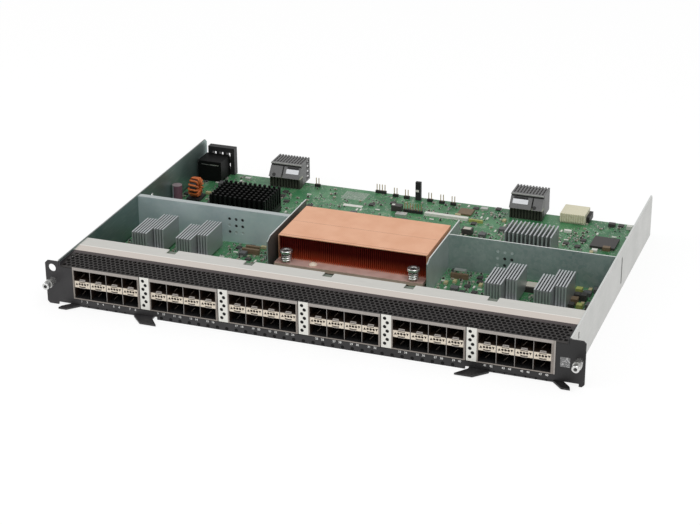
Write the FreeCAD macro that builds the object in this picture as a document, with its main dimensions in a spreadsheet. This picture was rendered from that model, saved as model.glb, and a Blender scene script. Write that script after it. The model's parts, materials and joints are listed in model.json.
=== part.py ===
import FreeCAD, Part
import Sketcher
import math
import operator
import os
from types import SimpleNamespace

# A switch line card: a folded steel tray with a black front panel, 48 pluggable ports in six ganged cages, the
# circuit board with its heat sinks and backplane connectors, two ejector levers and two captive thumbscrews.
# Frame: +X to the right, +Y to the rear, +Z up. The origin is the middle of the tray floor's underside.
# Depths that start at the front panel's face are added to `front`.

doc = FreeCAD.newDocument("SwitchLineCard")
sheet = doc.addObject("Spreadsheet::Sheet", "Sizes")

SIZES = {
    # outside; the width follows from the ports
    "ear_width": 11.1,
    "cage_side_margin": 12.4,
    "card_depth": 293.2,
    "brow_gap": 0.9,
    "brow_rise": 4.0,
    "panel_thick": 1.5,
    "panel_corner": 2.0,
    "tray_wall_rise": 0.9,
    "tray_sheet": 1.2,
    "tray_corner": 3.0,
    "joggle_rise": 2.4,
    "joggle_end": 24.0,
    "joggle_ramp": 2.5,
    "side_slot_start": 172.0,
    "side_slot_width": 3.4,
    "side_slot_bottom": 6.3,
    "side_slot_top": 29.5,
    "hook_slot_start": 22.6,
    "hook_slot_width": 2.4,
    "hook_slot_bottom": 27.0,
    "hook_slot_top": 33.0,
    # ports
    "port_pitch": 14.25,
    "group_gap": 9.96,
    "group_count": 6,
    "ports_across": 4,
    "port_height": 8.7,
    "band_height": 6.8,
    "cage_sheet": 0.4,
    "cage_depth": 49.5,
    "cage_base_thick": 1.2,
    "cage_window_gap": 0.2,
    "host_depth": 10.0,
    "host_gap": 0.2,
    "divider_setback": 0.3,
    "frame_thick": 0.4,
    "frame_side_lap": 0.6,
    "frame_top_lap": 1.4,
    "frame_bottom_lap": 0.8,
    "strip_side_gap": 0.28,
    "strip_thick": 0.6,
    "strip_lap": 0.6,
    "strip_hole_radius": 1.35,
    "strip_hole_rise": 3.9,
    "strip_hole_stagger": 1.3,
    "strip_holes": 7,
    # panel holes
    "foot_hole_radius": 1.1,
    "foot_hole_pitch": 8.05,
    "foot_hole_height": 1.5,
    "foot_hole_count": 31,
    "guide_hole_radius": 3.4,
    "guide_hole_inset": 6.0,
    "guide_hole_height": 31.8,
    # vent grille and the bracket behind it
    "vent_thick": 1.0,
    "vent_depth": 26.3,
    "vent_gap": 0.3,
    "vent_cell_radius": 4.9,
    "vent_margin": 8.7,
    "vent_row_pitch": 10.2,
    "vent_first_row": 7.9,
    "vent_cells_across": 34,
    "vent_rows": 2,
    "bracket_sheet": 1.0,
    "bracket_rise": 0.3,
    "bracket_lip_drop": 0.4,
    "bracket_bend": 36.5,
    "bracket_rear": 51.0,
    "notch_width": 8.0,
    "notch_depth": 7.5,
    "notch_shift": 3.3,
    # board and what carries it
    "board_top": 7.0,
    "board_thick": 2.4,
    "board_front": 4.0,
    "board_side_gap": 1.0,
    "post_inset": 11.7,
    "post_front": 84.0,
    "post_rear_inset": 31.2,
    "post_radius": 3.6,
    "screw_radius": 1.5,
    "screw_fit": 0.15,
    "screw_head_radius": 2.8,
    "screw_head_height": 1.8,
    "screw_bite": 2.4,
    # air baffles and ducts
    "wall_rise": 0.3,
    "wall_sheet": 1.0,
    "duct_gap": 3.9,
    "duct_front": 97.0,
    "duct_rear": 186.0,
    "duct_chamfer_run": 7.0,
    "duct_chamfer_drop": 3.0,
    "left_baffle_y": 145.6,
    "right_baffle_y": 154.5,
    "baffle_lip": 4.5,
    "baffle_hole_radius": 1.5,
    "baffle_hole_pitch": 6.0,
    "baffle_hole_x": 117.6,
    "baffle_hole_height": 22.6,
    # switch chip under the copper heat sink
    "switch_chip_width": 48.0,
    "switch_chip_y": 143.5,
    "copper_width": 129.2,
    "copper_base_bottom": 13.0,
    "copper_base_thick": 3.0,
    "copper_base_front": 100.0,
    "copper_base_rear": 187.0,
    "copper_front": 111.0,
    "copper_rear": 176.0,
    "copper_top": 36.5,
    "copper_roof": 0.8,
    "copper_fin": 0.6,
    "copper_fin_pitch": 3.2,
    "sink_screw_x": 55.2,
    "sink_screw_inset": 4.5,
    "sink_screw_radius": 2.0,
    "sink_screw_end": 1.2,
    "sink_screw_head_radius": 5.0,
    "sink_screw_head_height": 2.4,
    "sink_spring_radius": 4.3,
    "sink_spring_wall": 0.9,
    "sink_spring_height": 10.0,
    "sink_post_radius": 4.2,
    # four finned sinks over the port drivers
    "port_sink_a_inset": 32.1,
    "port_sink_b_inset": 72.5,
    "port_sink_c_inset": 79.5,
    "port_sink_d_inset": 39.3,
    "phy_sink_width": 23.4,
    "phy_sink_front": 90.5,
    "phy_sink_depth": 43.5,
    "phy_sink_top": 30.0,
    "phy_sink_base": 2.5,
    "phy_fin_count": 10,
    "phy_fin": 1.2,
    "phy_notch_depth": 12.0,
    "phy_front_notch_fins": 4,
    "phy_chip_width": 20.0,
    "phy_chip_height": 2.2,
    "phy_pin_radius": 1.8,
    "phy_pin_head": 3.0,
    # rear finned sink
    "rear_sink_x": 126.7,
    "rear_sink_y": 205.5,
    "rear_sink_width": 40.5,
    "rear_sink_depth": 27.0,
    "rear_sink_top": 30.0,
    "rear_sink_fins": 12,
    "rear_sink_fin": 1.2,
    # power brick and its pin sink
    "brick_x": -134.5,
    "brick_y": 206.0,
    "brick_width": 53.0,
    "brick_depth": 37.0,
    "brick_top": 12.5,
    "brick_sink_base": 2.5,
    "brick_sink_top": 30.0,
    "brick_pins_across": 8,
    "brick_pins_deep": 6,
    "brick_pin": 2.6,
    # backplane connectors
    "signal_width": 29.4,
    "signal_front_inset": 21.1,
    "signal_lean": 6.9,
    "signal_overhang": 7.8,
    "signal_top": 29.2,
    "signal_foot": 17.8,
    "signal_underside": 8.4,
    "signal_lip": 1.3,
    "signal_lip_slot": 1.5,
    "signal_left_x": -124.6,
    "signal_right_x": 103.3,
    "left_groove_shift": 2.1,
    "right_groove_shift": 5.6,
    "signal_slot_count": 10,
    "signal_slot": 1.3,
    "signal_slot_depth": 1.6,
    "signal_slot_start": 3.0,
    "signal_bay": 3.2,
    "signal_bay_depth": 9.0,
    "signal_bay_pitch": 4.95,
    "signal_bay_first": 10.1,
    "signal_bay_count": 4,
    "wafer_front_inset": 18.1,
    "wafer_depth": 8.0,
    "wafer_tooth": 1.1,
    "power_block_inset": 13.3,
    "power_block_width": 23.0,
    "power_block_front_inset": 25.1,
    "power_block_top": 26.4,
    "power_plate_inset": 16.2,
    "power_plate_width": 26.3,
    "power_plate_front_inset": 4.2,
    "power_plate_depth": 6.6,
    "power_plate_top": 33.0,
    "power_slot": 4.0,
    "power_slot_height": 6.0,
    "power_slot_across": 7.0,
    "power_slot_shift": 0.1,
    "power_slot_low": 12.5,
    "power_slot_high": 22.5,
    "side_plug_x": 144.4,
    "side_plug_width": 22.0,
    "side_plug_front_inset": 15.1,
    "side_plug_overhang": 6.4,
    "side_plug_top": 16.2,
    "side_plug_underside": 8.9,
    "side_plug_foot_setback": 2.0,
    "side_plug_rib": 1.1,
    "side_plug_rib_depth": 0.8,
    "side_plug_rib_count": 10,
    "side_latch_width": 3.0,
    "side_latch_front_inset": 8.2,
    "side_latch_top": 12.6,
    # parts on the board
    "choke_inset": 18.0,
    "choke_rear_inset": 67.2,
    "choke_base_width": 13.0,
    "choke_base_depth": 15.0,
    "choke_base_top": 9.0,
    "choke_thick": 9.6,
    "choke_radius": 9.3,
    "choke_bore": 4.0,
    "capacitor_inset": 5.3,
    "capacitor_rear_inset": 79.2,
    "capacitor_radius": 4.5,
    "capacitor_height": 16.0,
    "control_chip_inset": 28.5,
    "control_chip_y": 244.8,
    "control_chip_width": 21.6,
    "control_chip_height": 2.2,
    "header_pitch": 2.54,
    "header_base": 2.5,
    "header_pin": 0.64,
    "header_pin_height": 8.6,
    "tower_x": 0.3,
    "tower_inset": 5.8,
    "tower_width": 5.0,
    "tower_depth": 3.0,
    "tower_height": 17.5,
    "relay_width": 9.2,
    "relay_depth": 6.6,
    "relay_height": 5.2,
    "relay_left_x": -10.3,
    "relay_left_inset": 34.8,
    "relay_right_x": 63.9,
    "relay_right_inset": 64.7,
    "strip_socket_x": 36.2,
    "strip_socket_inset": 36.5,
    "strip_socket_width": 39.6,
    "strip_socket_depth": 4.2,
    "strip_socket_height": 2.6,
    "clip_x": 84.0,
    "clip_y": 141.0,
    "clip_width": 10.0,
    "clip_depth": 5.0,
    "clip_height": 7.0,
    "clip_sheet": 0.5,
    # ejector levers: across, each size is counted from the pivot
    "lever_thick": 1.5,
    "lever_floor_gap": 0.6,
    "lever_pivot_inset": 36.0,
    "left_lever_shift": 5.6,
    "lever_pivot_y": 7.5,
    "lever_arm_front": 0.1,
    "lever_arm_rear": 13.0,
    "notch_inner_gap": 3.2,
    "notch_outer_gap": 4.4,
    "tab_root_inner": 52.6,
    "tab_root_outer": 36.5,
    "tab_tip_inner": 60.5,
    "tab_tip_outer": 46.4,
    "tab_reach": 12.6,
    "tab_knee": 2.4,
    "hook_root_inner": 12.0,
    "hook_bend": 20.5,
    "hook_tip": 27.4,
    "hook_reach": 8.9,
    "hook_tip_width": 3.3,
    "hook_root_outer": 21.0,
    "pivot_radius": 2.0,
    "pivot_fit": 0.05,
    "pivot_head_radius": 3.6,
    "pivot_head_height": 0.4,
    "pivot_head_gap": 0.1,
    # captive thumbscrews
    "left_thumb_inset": 6.2,
    "right_thumb_inset": 4.4,
    "thumb_height": 20.8,
    "thumb_radius": 3.5,
    "thumb_reach": 13.2,
    "thumb_crown": 1.0,
    "thumb_slot": 1.4,
    "thumb_slot_depth": 1.2,
    "ferrule_radius": 3.1,
    "ferrule_reach": 4.6,
    "thumb_gap": 0.3,
    "shank_radius": 1.6,
    "shank_fit": 0.06,
    "thread_radius": 2.0,
    "thread_reach": 9.5,
}


class Size:
    """A number that knows the sheet formula behind it, so one sum both places a feature and binds it."""

    def __init__(self, value, text):
        self.value, self.text = value, text

    def __add__(self, other):
        return combine(self, "+", other)

    def __radd__(self, other):
        return combine(other, "+", self)

    def __sub__(self, other):
        return combine(self, "-", other)

    def __rsub__(self, other):
        return combine(other, "-", self)

    def __mul__(self, other):
        return combine(self, "*", other)

    def __rmul__(self, other):
        return combine(other, "*", self)

    def __truediv__(self, other):
        return combine(self, "/", other)

    def __neg__(self):
        return combine(0, "-", self)


SUMS = {"+": operator.add, "-": operator.sub, "*": operator.mul, "/": operator.truediv}


def as_size(number):
    return number if isinstance(number, Size) else Size(number, f"({number:.10g})")


def combine(left, sign, right):
    left, right = as_size(left), as_size(right)
    return Size(SUMS[sign](left.value, right.value), f"({left.text} {sign} {right.text})")


def fill_sheet():
    for row, (name, value) in enumerate(SIZES.items(), start=1):
        sheet.set(f"A{row}", name)
        sheet.set(f"B{row}", str(value))
        sheet.setAlias(f"B{row}", name)
    doc.recompute()
    return SimpleNamespace(**{name: Size(value, f"Sizes.{name}") for name, value in SIZES.items()})


s = fill_sheet()
front = -s.card_depth / 2
rear = s.card_depth / 2
NODES = []


# ---------------------------------------------------------------- building blocks

def node(obj, label):
    """Marks an object as one of the card's sub-parts; the label names its file."""
    obj.Label = label
    NODES.append(obj)
    return obj


def bind(obj, prop, size):
    obj.setExpression(prop, as_size(size).text)


def place(obj, x=0, y=0, z=0, turn=None):
    obj.Placement = FreeCAD.Placement(FreeCAD.Vector(0, 0, 0), turn or FreeCAD.Rotation())
    for axis, size in (("x", x), ("y", y), ("z", z)):
        bind(obj, f"Placement.Base.{axis}", size)


def box(x, y, z, name="Block"):
    """A block from three (low, high) spans."""
    block = doc.addObject("Part::Box", name)
    for prop, span in (("Length", x), ("Width", y), ("Height", z)):
        bind(block, prop, span[1] - span[0])
    place(block, x[0], y[0], z[0])
    return block


def middle_span(centre, width):
    return (centre - width / 2, centre + width / 2)


def prism(x, y, z, radius, sides=6, name="Prism"):
    """A many-sided post at x, y standing on the span z; small repeated hardware has few sides to stay light."""
    post = doc.addObject("Part::Prism", name)
    post.Polygon = sides
    bind(post, "Circumradius", radius)
    bind(post, "Height", z[1] - z[0])
    place(post, x, y, z[0])
    return post


def cut(base, tool, name="Cut"):
    result = doc.addObject("Part::Cut", name)
    result.Base, result.Tool = base, tool
    return result


def group(parts, name="Group"):
    bundle = doc.addObject("Part::Compound", name)
    bundle.Links = parts
    return bundle


def fuse(parts, name="Fuse"):
    union = doc.addObject("Part::MultiFuse", name)
    union.Shapes = parts
    return union


def new_body(label):
    return node(doc.addObject("PartDesign::Body", "Body"), label)


def plane(body, role):
    return next(f for f in body.Origin.OriginFeatures if f.Role == role)


def sketch(body, role, points, offset=0):
    """A closed outline on one of the body's own planes: each corner is held by two distances from the origin."""
    drawing = body.newObject("Sketcher::SketchObject", "Outline")
    drawing.AttachmentSupport = [(plane(body, role), "")]
    drawing.MapMode = "FlatFace"
    bind(drawing, "AttachmentOffset.Base.z", offset)
    corners = [tuple(as_size(c) for c in point) for point in points]
    spots = [FreeCAD.Vector(u.value, v.value, 0) for u, v in corners]
    for i, spot in enumerate(spots):
        drawing.addGeometry(Part.LineSegment(spot, spots[(i + 1) % len(spots)]), False)
    for i, (u, v) in enumerate(corners):
        drawing.addConstraint(Sketcher.Constraint("Coincident", i, 2, (i + 1) % len(corners), 1))
        for kind, size in (("DistanceX", u), ("DistanceY", v)):
            index = drawing.addConstraint(Sketcher.Constraint(kind, -1, 1, i, 1, size.value))
            bind(drawing, f"Constraints[{index}]", size)
    return drawing


def round_outline(body, u, v, radius, role="XY_Plane", offset=0):
    """A circle on one of the body's own planes."""
    drawing = body.newObject("Sketcher::SketchObject", "Circle")
    drawing.AttachmentSupport = [(plane(body, role), "")]
    drawing.MapMode = "FlatFace"
    bind(drawing, "AttachmentOffset.Base.z", offset)
    u, v, radius = as_size(u), as_size(v), as_size(radius)
    middle = FreeCAD.Vector(u.value, v.value, 0)
    drawing.addGeometry(Part.Circle(middle, FreeCAD.Vector(0, 0, 1), radius.value), False)
    for kind, size in (("DistanceX", u), ("DistanceY", v)):
        index = drawing.addConstraint(Sketcher.Constraint(kind, -1, 1, 0, 3, size.value))
        bind(drawing, f"Constraints[{index}]", size)
    index = drawing.addConstraint(Sketcher.Constraint("Radius", 0, radius.value))
    bind(drawing, f"Constraints[{index}]", radius)
    return drawing


def pad(body, drawing, length):
    feature = body.newObject("PartDesign::Pad", "Pad")
    feature.Profile = drawing
    bind(feature, "Length", length)
    return feature


def pocket(body, drawing, length, reverse=False):
    """Cuts an outline into the body, away from the outline's normal unless reversed."""
    feature = body.newObject("PartDesign::Pocket", "Pocket")
    feature.Profile = drawing
    feature.Reversed = reverse
    bind(feature, "Length", length)
    return feature


def repeat(body, feature, drawing, direction, pitch, count):
    """Repeats a feature at a pitch along one of its own sketch's axes."""
    pattern = body.newObject("PartDesign::LinearPattern", "Repeat")
    pattern.Originals = [feature]
    pattern.Direction = (drawing, [direction])
    bind(pattern, "Length", pitch * (count - 1))
    bind(pattern, "Occurrences", count)
    body.Tip = pattern
    return pattern


def rectangle(u, v):
    return [(u[0], v[0]), (u[1], v[0]), (u[1], v[1]), (u[0], v[1])]


def cell_outline(u, v, radius, sides=6):
    """The corners of a regular vent cell, one of them pointing up."""
    turns = [math.pi / 2 + 2 * math.pi * k / sides for k in range(sides)]
    return [(u + radius * math.cos(a), v + radius * math.sin(a)) for a in turns]


def turned(label, outline, x=0, y=0, z=0, turn=None):
    """A full turn of a half section (radius, height) about its own upright axis."""
    body = new_body(label) if label else doc.addObject("PartDesign::Body", "Turned")
    drawing = sketch(body, "XZ_Plane", outline)
    feature = body.newObject("PartDesign::Revolution", "Turn")
    feature.Profile = drawing
    feature.ReferenceAxis = (drawing, ["V_Axis"])
    feature.Angle = 360
    place(body, x, y, z, turn)
    return body


# ---------------------------------------------------------------- lines that many pieces share

board_under = s.board_top - s.board_thick
base_top = s.board_top + s.cage_base_thick
band_bottom = base_top + s.port_height
band_top = band_bottom + s.band_height
cage_ceiling = band_top + s.port_height
cage_top = cage_ceiling + s.cage_sheet
panel_brow = cage_top + s.brow_gap
panel_height = panel_brow + s.brow_rise
tray_wall_height = panel_height + s.tray_wall_rise
bracket_top = panel_height + s.bracket_rise
bracket_lip = panel_height - s.bracket_lip_drop
wall_top = panel_height + s.wall_rise
cage_half = (s.port_pitch * s.ports_across + s.cage_sheet) / 2
group_pitch = 2 * cage_half + s.group_gap
group_numbers = range(SIZES["group_count"])
column_numbers = range(SIZES["ports_across"])


def group_x(k):
    """The middle of cage k, counted from the left."""
    return group_pitch * (k - (s.group_count - 1) / 2)


window_half = group_pitch * (s.group_count - 1) / 2 + cage_half + s.cage_window_gap
wall_inside = window_half + s.cage_side_margin
tray_half = wall_inside + s.tray_sheet
panel_half = tray_half + s.ear_width
copper_half = s.copper_width / 2
joggle_foot = front + s.joggle_end + s.joggle_ramp
joggle_top = s.joggle_rise + s.tray_sheet


def lever_pivot(side):
    """Where a lever's rivet stands across the card; the left one stands a little nearer the middle."""
    pivot = panel_half - s.lever_pivot_inset
    return pivot if side > 0 else s.left_lever_shift - pivot


def thumb_x(side):
    return panel_half - s.right_thumb_inset if side > 0 else s.left_thumb_inset - panel_half


# ---------------------------------------------------------------- tray, panel, grille, bracket

def make_tray():
    """One folded sheet: floor with its front stretch joggled up over the levers, and two side walls."""
    body = new_body("tray")
    behind = front + s.panel_thick
    floor_section = [
        (behind, s.joggle_rise), (front + s.joggle_end, s.joggle_rise), (joggle_foot, 0), (rear, 0),
        (rear, s.tray_sheet), (joggle_foot, s.tray_sheet), (front + s.joggle_end, joggle_top), (behind, joggle_top),
    ]
    pad(body, sketch(body, "YZ_Plane", floor_section, -tray_half), 2 * tray_half)
    wall_section = [
        (behind, s.joggle_rise), (front + s.joggle_end, s.joggle_rise), (joggle_foot, 0), (rear, 0),
        (rear, tray_wall_height - s.tray_corner), (rear - s.tray_corner, tray_wall_height),
        (behind, tray_wall_height),
    ]
    for outside in (-tray_half, wall_inside):
        pad(body, sketch(body, "YZ_Plane", wall_section, outside), s.tray_sheet)
    slots = (
        (s.side_slot_start, s.side_slot_width, s.side_slot_bottom, s.side_slot_top),
        (s.hook_slot_start, s.hook_slot_width, s.hook_slot_bottom, s.hook_slot_top),
    )
    for start, width, low, high in slots:
        opening = rectangle((front + start, front + start + width), (low, high))
        pocket(body, sketch(body, "YZ_Plane", opening, -tray_half), 2 * tray_half, reverse=True)
    for side in (-1, 1):
        pivot = round_outline(body, lever_pivot(side), front + s.lever_pivot_y, s.pivot_radius)
        pocket(body, pivot, joggle_top, reverse=True)
    return body


def notch_ends(side):
    """The inner and outer end of the low notch that a lever's tab and hook come out of."""
    pivot = lever_pivot(side)
    return (
        pivot - side * (s.tab_root_inner + s.notch_inner_gap),
        pivot + side * (s.hook_tip + s.notch_outer_gap),
    )


def make_faceplate():
    """The front panel: a flat plate with one long window, low notches for the levers and a row of foot holes."""
    body = new_body("faceplate")
    half = panel_half
    corner = s.panel_corner
    left_inner, left_outer = notch_ends(-1)
    right_inner, right_outer = notch_ends(1)
    outline = [
        (right_outer, 0), (half - corner, 0), (half, corner), (half, panel_height - corner),
        (half - corner, panel_height), (wall_inside, panel_height), (wall_inside, panel_brow),
        (-wall_inside, panel_brow), (-wall_inside, panel_height), (corner - half, panel_height),
        (-half, panel_height - corner), (-half, corner), (corner - half, 0), (left_outer, 0),
        (left_outer, s.joggle_rise), (left_inner, s.joggle_rise), (left_inner, 0),
        (right_inner, 0), (right_inner, s.joggle_rise), (right_outer, s.joggle_rise),
    ]
    # the outline's plane looks towards -Y, so the plate is padded forward from its back face
    pad(body, sketch(body, "XZ_Plane", outline, -(front + s.panel_thick)), s.panel_thick)
    low = s.board_top - s.cage_window_gap
    high = cage_top + s.cage_window_gap
    window = rectangle((-window_half, window_half), (low, high))
    plate_back = -(front + s.panel_thick)
    pocket(body, sketch(body, "XZ_Plane", window, plate_back), s.panel_thick, reverse=True)
    guide_x = s.guide_hole_inset - panel_half
    holes = [round_outline(body, guide_x, s.guide_hole_height, s.guide_hole_radius, "XZ_Plane", plate_back)]
    for side in (-1, 1):
        spigot = round_outline(body, thumb_x(side), s.thumb_height, s.ferrule_radius, "XZ_Plane", plate_back)
        holes.append(spigot)
    for hole in holes:
        pocket(body, hole, s.panel_thick, reverse=True)
    first = -s.foot_hole_pitch * (s.foot_hole_count - 1) / 2
    cell = sketch(
        body, "XZ_Plane", cell_outline(first, s.foot_hole_height, s.foot_hole_radius, 4), plate_back
    )
    hole = pocket(body, cell, s.panel_thick, reverse=True)
    repeat(body, hole, cell, "H_Axis", s.foot_hole_pitch, s.foot_hole_count)
    return body


def make_grille():
    """The vent grille: a sheet sloping up from the panel's brow, honeycomb cells, a cheek at each end."""
    body = new_body("vent_grille")
    half = wall_inside - s.vent_gap
    pitch = 2 * (wall_inside - s.vent_margin) / (s.vent_cells_across - 1 / 2)
    back = front + s.vent_depth
    slope = [
        (front, panel_brow), (front + s.panel_thick, panel_brow), (back, panel_height - s.vent_thick),
        (back, panel_height), (front, panel_brow + s.vent_thick),
    ]
    pad(body, sketch(body, "YZ_Plane", slope, -half), 2 * half)
    cheek = [(front, panel_brow + s.vent_thick), (back, panel_height), (front + s.vent_thick, panel_height)]
    for outside in (-half, half - s.vent_thick):
        pad(body, sketch(body, "YZ_Plane", cheek, outside), s.vent_thick)
    for row in range(SIZES["vent_rows"]):
        first = -pitch * (s.vent_cells_across - 1 / 2) / 2 + pitch / 2 * (row % 2)
        depth = front + s.vent_first_row + row * s.vent_row_pitch
        cell = sketch(body, "XY_Plane", cell_outline(first, depth, s.vent_cell_radius), panel_brow)
        hole = pocket(body, cell, panel_height - panel_brow, reverse=True)
        repeat(body, hole, cell, "H_Axis", pitch, s.vent_cells_across)
    return body


def make_bracket():
    """The bright cross bracket behind the grille: a web on the cages, a sloping band and a notched flange."""
    body = new_body("top_bracket")
    web = front + s.vent_depth
    under = bracket_top - s.bracket_sheet
    section = [
        (web, cage_top), (web, bracket_lip), (front + s.bracket_bend, bracket_top),
        (front + s.bracket_rear, bracket_top), (front + s.bracket_rear, under),
        (front + s.bracket_bend, under), (web + s.bracket_sheet, bracket_lip - s.bracket_sheet),
        (web + s.bracket_sheet, cage_top),
    ]
    pad(body, sketch(body, "YZ_Plane", section, -wall_inside), 2 * wall_inside)
    middle = s.notch_shift - group_pitch * (s.group_count - 2) / 2
    edge = front + s.bracket_rear
    opening = sketch(
        body, "XY_Plane", rectangle(middle_span(middle, s.notch_width), (edge - s.notch_depth, edge)), under
    )
    notch = pocket(body, opening, s.bracket_sheet, reverse=True)
    repeat(body, notch, opening, "H_Axis", group_pitch, s.group_count - 1)
    return body


# ---------------------------------------------------------------- port cages

def cage_part(label, spans):
    """One node made of the same blocks in every cage; each block is three (low, high) spans about the cage."""
    blocks = []
    for k in group_numbers:
        for x, y, z in spans:
            blocks.append(box((group_x(k) + x[0], group_x(k) + x[1]), y, z))
    return node(group(blocks), label)


def column_span(j, gap=0):
    """The clear width of port column j between its two sheets."""
    left = s.port_pitch * (j - s.ports_across / 2) + s.cage_sheet / 2
    return (left + gap, left + s.port_pitch - s.cage_sheet - gap)


def make_cages():
    back = front + s.cage_depth
    inner_back = back - s.cage_sheet
    setback = front + s.divider_setback
    host_front = inner_back - s.host_gap - s.host_depth
    cage_part("cage_bases", [((-cage_half, cage_half), (front, back), (s.board_top, base_top))])

    shells = []
    for k in group_numbers:
        x = group_x(k)
        shell = box((x - cage_half, x + cage_half), (front, back), (base_top, cage_top), "Shell")
        room = (x - cage_half + s.cage_sheet, x + cage_half - s.cage_sheet)
        shells.append(cut(shell, box(room, (front, inner_back), (base_top, cage_ceiling), "Room")))
    node(group(shells), "cage_shells")

    sheets = []
    for j in range(1, SIZES["ports_across"]):
        x = s.port_pitch * (j - s.ports_across / 2)
        sheets.append((middle_span(x, s.cage_sheet), (setback, inner_back), (base_top, cage_ceiling)))
    cage_part("cage_dividers", sheets)

    bands = [(column_span(j), (setback, host_front), (band_bottom, band_top)) for j in column_numbers]
    cage_part("port_separators", bands)

    host_height = (base_top, cage_ceiling - s.host_gap)
    hosts = [
        (column_span(j, s.host_gap), (host_front, inner_back - s.host_gap), host_height) for j in column_numbers
    ]
    cage_part("host_connectors", hosts)

    frames = []
    for k in group_numbers:
        x = group_x(k)
        side = cage_half + s.frame_side_lap
        y = (front - s.frame_thick, front)
        ring = box((x - side, x + side), y, (base_top - s.frame_bottom_lap, cage_ceiling + s.frame_top_lap), "Frame")
        mouth = (x - cage_half + s.cage_sheet, x + cage_half - s.cage_sheet)
        frames.append(cut(ring, box(mouth, y, (base_top, cage_ceiling), "Mouth")))
    node(group(frames), "cage_frames")


def make_strips():
    """The perforated strips that fill the panel's window between the cages."""
    strips = []
    top = panel_brow - s.cage_window_gap / 2
    bottom = s.board_top - s.cage_window_gap - 2 * s.strip_lap
    y = (front + s.panel_thick, front + s.panel_thick + s.strip_thick)
    middle_z = (base_top + cage_ceiling) / 2
    for k in range(SIZES["group_count"] - 1):
        x = (group_x(k) + group_x(k + 1)) / 2
        plate = box(middle_span(x, s.group_gap - 2 * s.strip_side_gap), y, (bottom, top), "Strip")
        cells = []
        for i in range(SIZES["strip_holes"]):
            sideways = s.strip_hole_stagger * (-1 if i % 2 == 0 else 1)
            height = middle_z + s.strip_hole_rise * (i - (s.strip_holes - 1) / 2)
            cells.append(lying_prism(x + sideways, y[0], height, s.strip_hole_radius, s.strip_thick))
        strips.append(cut(plate, group(cells)))
    node(group(strips), "perforated_strips")


def lying_prism(x, y, z, radius, length):
    """A six-sided bar lying along +Y from x, y, z."""
    bar = doc.addObject("Part::Prism", "Cell")
    bar.Polygon = 6
    bind(bar, "Circumradius", radius)
    bind(bar, "Height", length)
    place(bar, x, y, z, FreeCAD.Rotation(FreeCAD.Vector(1, 0, 0), -90))
    return bar


# ---------------------------------------------------------------- board, posts, air walls

post_x = wall_inside - s.post_inset
post_places = [(i * post_x, y) for i in (-1, 1) for y in (front + s.post_front, rear - s.post_rear_inset)]
screw_hole = s.screw_radius + s.screw_fit


def make_board():
    """The main board with a hole over each post."""
    half = wall_inside - s.board_side_gap
    slab = box((-half, half), (front + s.board_front, rear), (board_under, s.board_top), "Slab")
    holes = [prism(x, y, (board_under, s.board_top), screw_hole, 8) for x, y in post_places]
    node(cut(slab, group(holes)), "main_board")

    posts = []
    for x, y in post_places:
        bore = prism(x, y, (board_under - s.screw_bite, board_under), s.screw_radius, 8)
        posts.append(cut(prism(x, y, (s.tray_sheet, board_under), s.post_radius), bore))
    node(group(posts), "board_posts")

    screws = []
    for x, y in post_places:
        tip = board_under - s.screw_bite
        shank = prism(x, y, (tip, s.board_top), s.screw_radius, 8)
        head = prism(x, y, (s.board_top, s.board_top + s.screw_head_height), s.screw_head_radius, 8)
        screws.append(fuse([shank, head]))
    node(group(screws), "board_screws")


def make_air_walls():
    """Two duct walls beside the copper sink, and a baffle from each one to the tray's side."""
    inside = copper_half + s.duct_gap
    duct_face = inside + s.wall_sheet
    for label, left in (("left_duct_wall", -duct_face), ("right_duct_wall", inside)):
        body = new_body(label)
        begin = front + s.duct_front
        outline = [
            (begin, s.board_top), (front + s.duct_rear, s.board_top), (front + s.duct_rear, wall_top),
            (begin + s.duct_chamfer_run, wall_top), (begin, wall_top - s.duct_chamfer_drop),
        ]
        pad(body, sketch(body, "YZ_Plane", outline, left), s.wall_sheet)
    for side, y, lip in ((-1, s.left_baffle_y, s.baffle_lip), (1, s.right_baffle_y, 0)):
        span = (-wall_inside, -duct_face) if side < 0 else (duct_face, wall_inside)
        web = box(span, (front + y, front + y + s.wall_sheet), (s.board_top, wall_top), "Web")
        if side < 0:
            flange = (front + y, front + y + s.wall_sheet + lip)
            web = fuse([web, box(span, flange, (wall_top - s.wall_sheet, wall_top), "Lip")])
        holes = []
        for i in (-1, 0, 1):
            for k in (-1, 0, 1):
                x = side * s.baffle_hole_x + i * s.baffle_hole_pitch
                z = s.baffle_hole_height + k * s.baffle_hole_pitch
                holes.append(lying_prism(x, front + y, z, s.baffle_hole_radius, s.wall_sheet))
        node(cut(web, group(holes)), "left_baffle" if side < 0 else "right_baffle")


# ---------------------------------------------------------------- copper heat sink

sink_screws = [
    (i * s.sink_screw_x, front + y)
    for i in (-1, 1)
    for y in (s.copper_base_front + s.sink_screw_inset, s.copper_base_rear - s.sink_screw_inset)
]
copper_floor = s.copper_base_bottom + s.copper_base_thick


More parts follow.
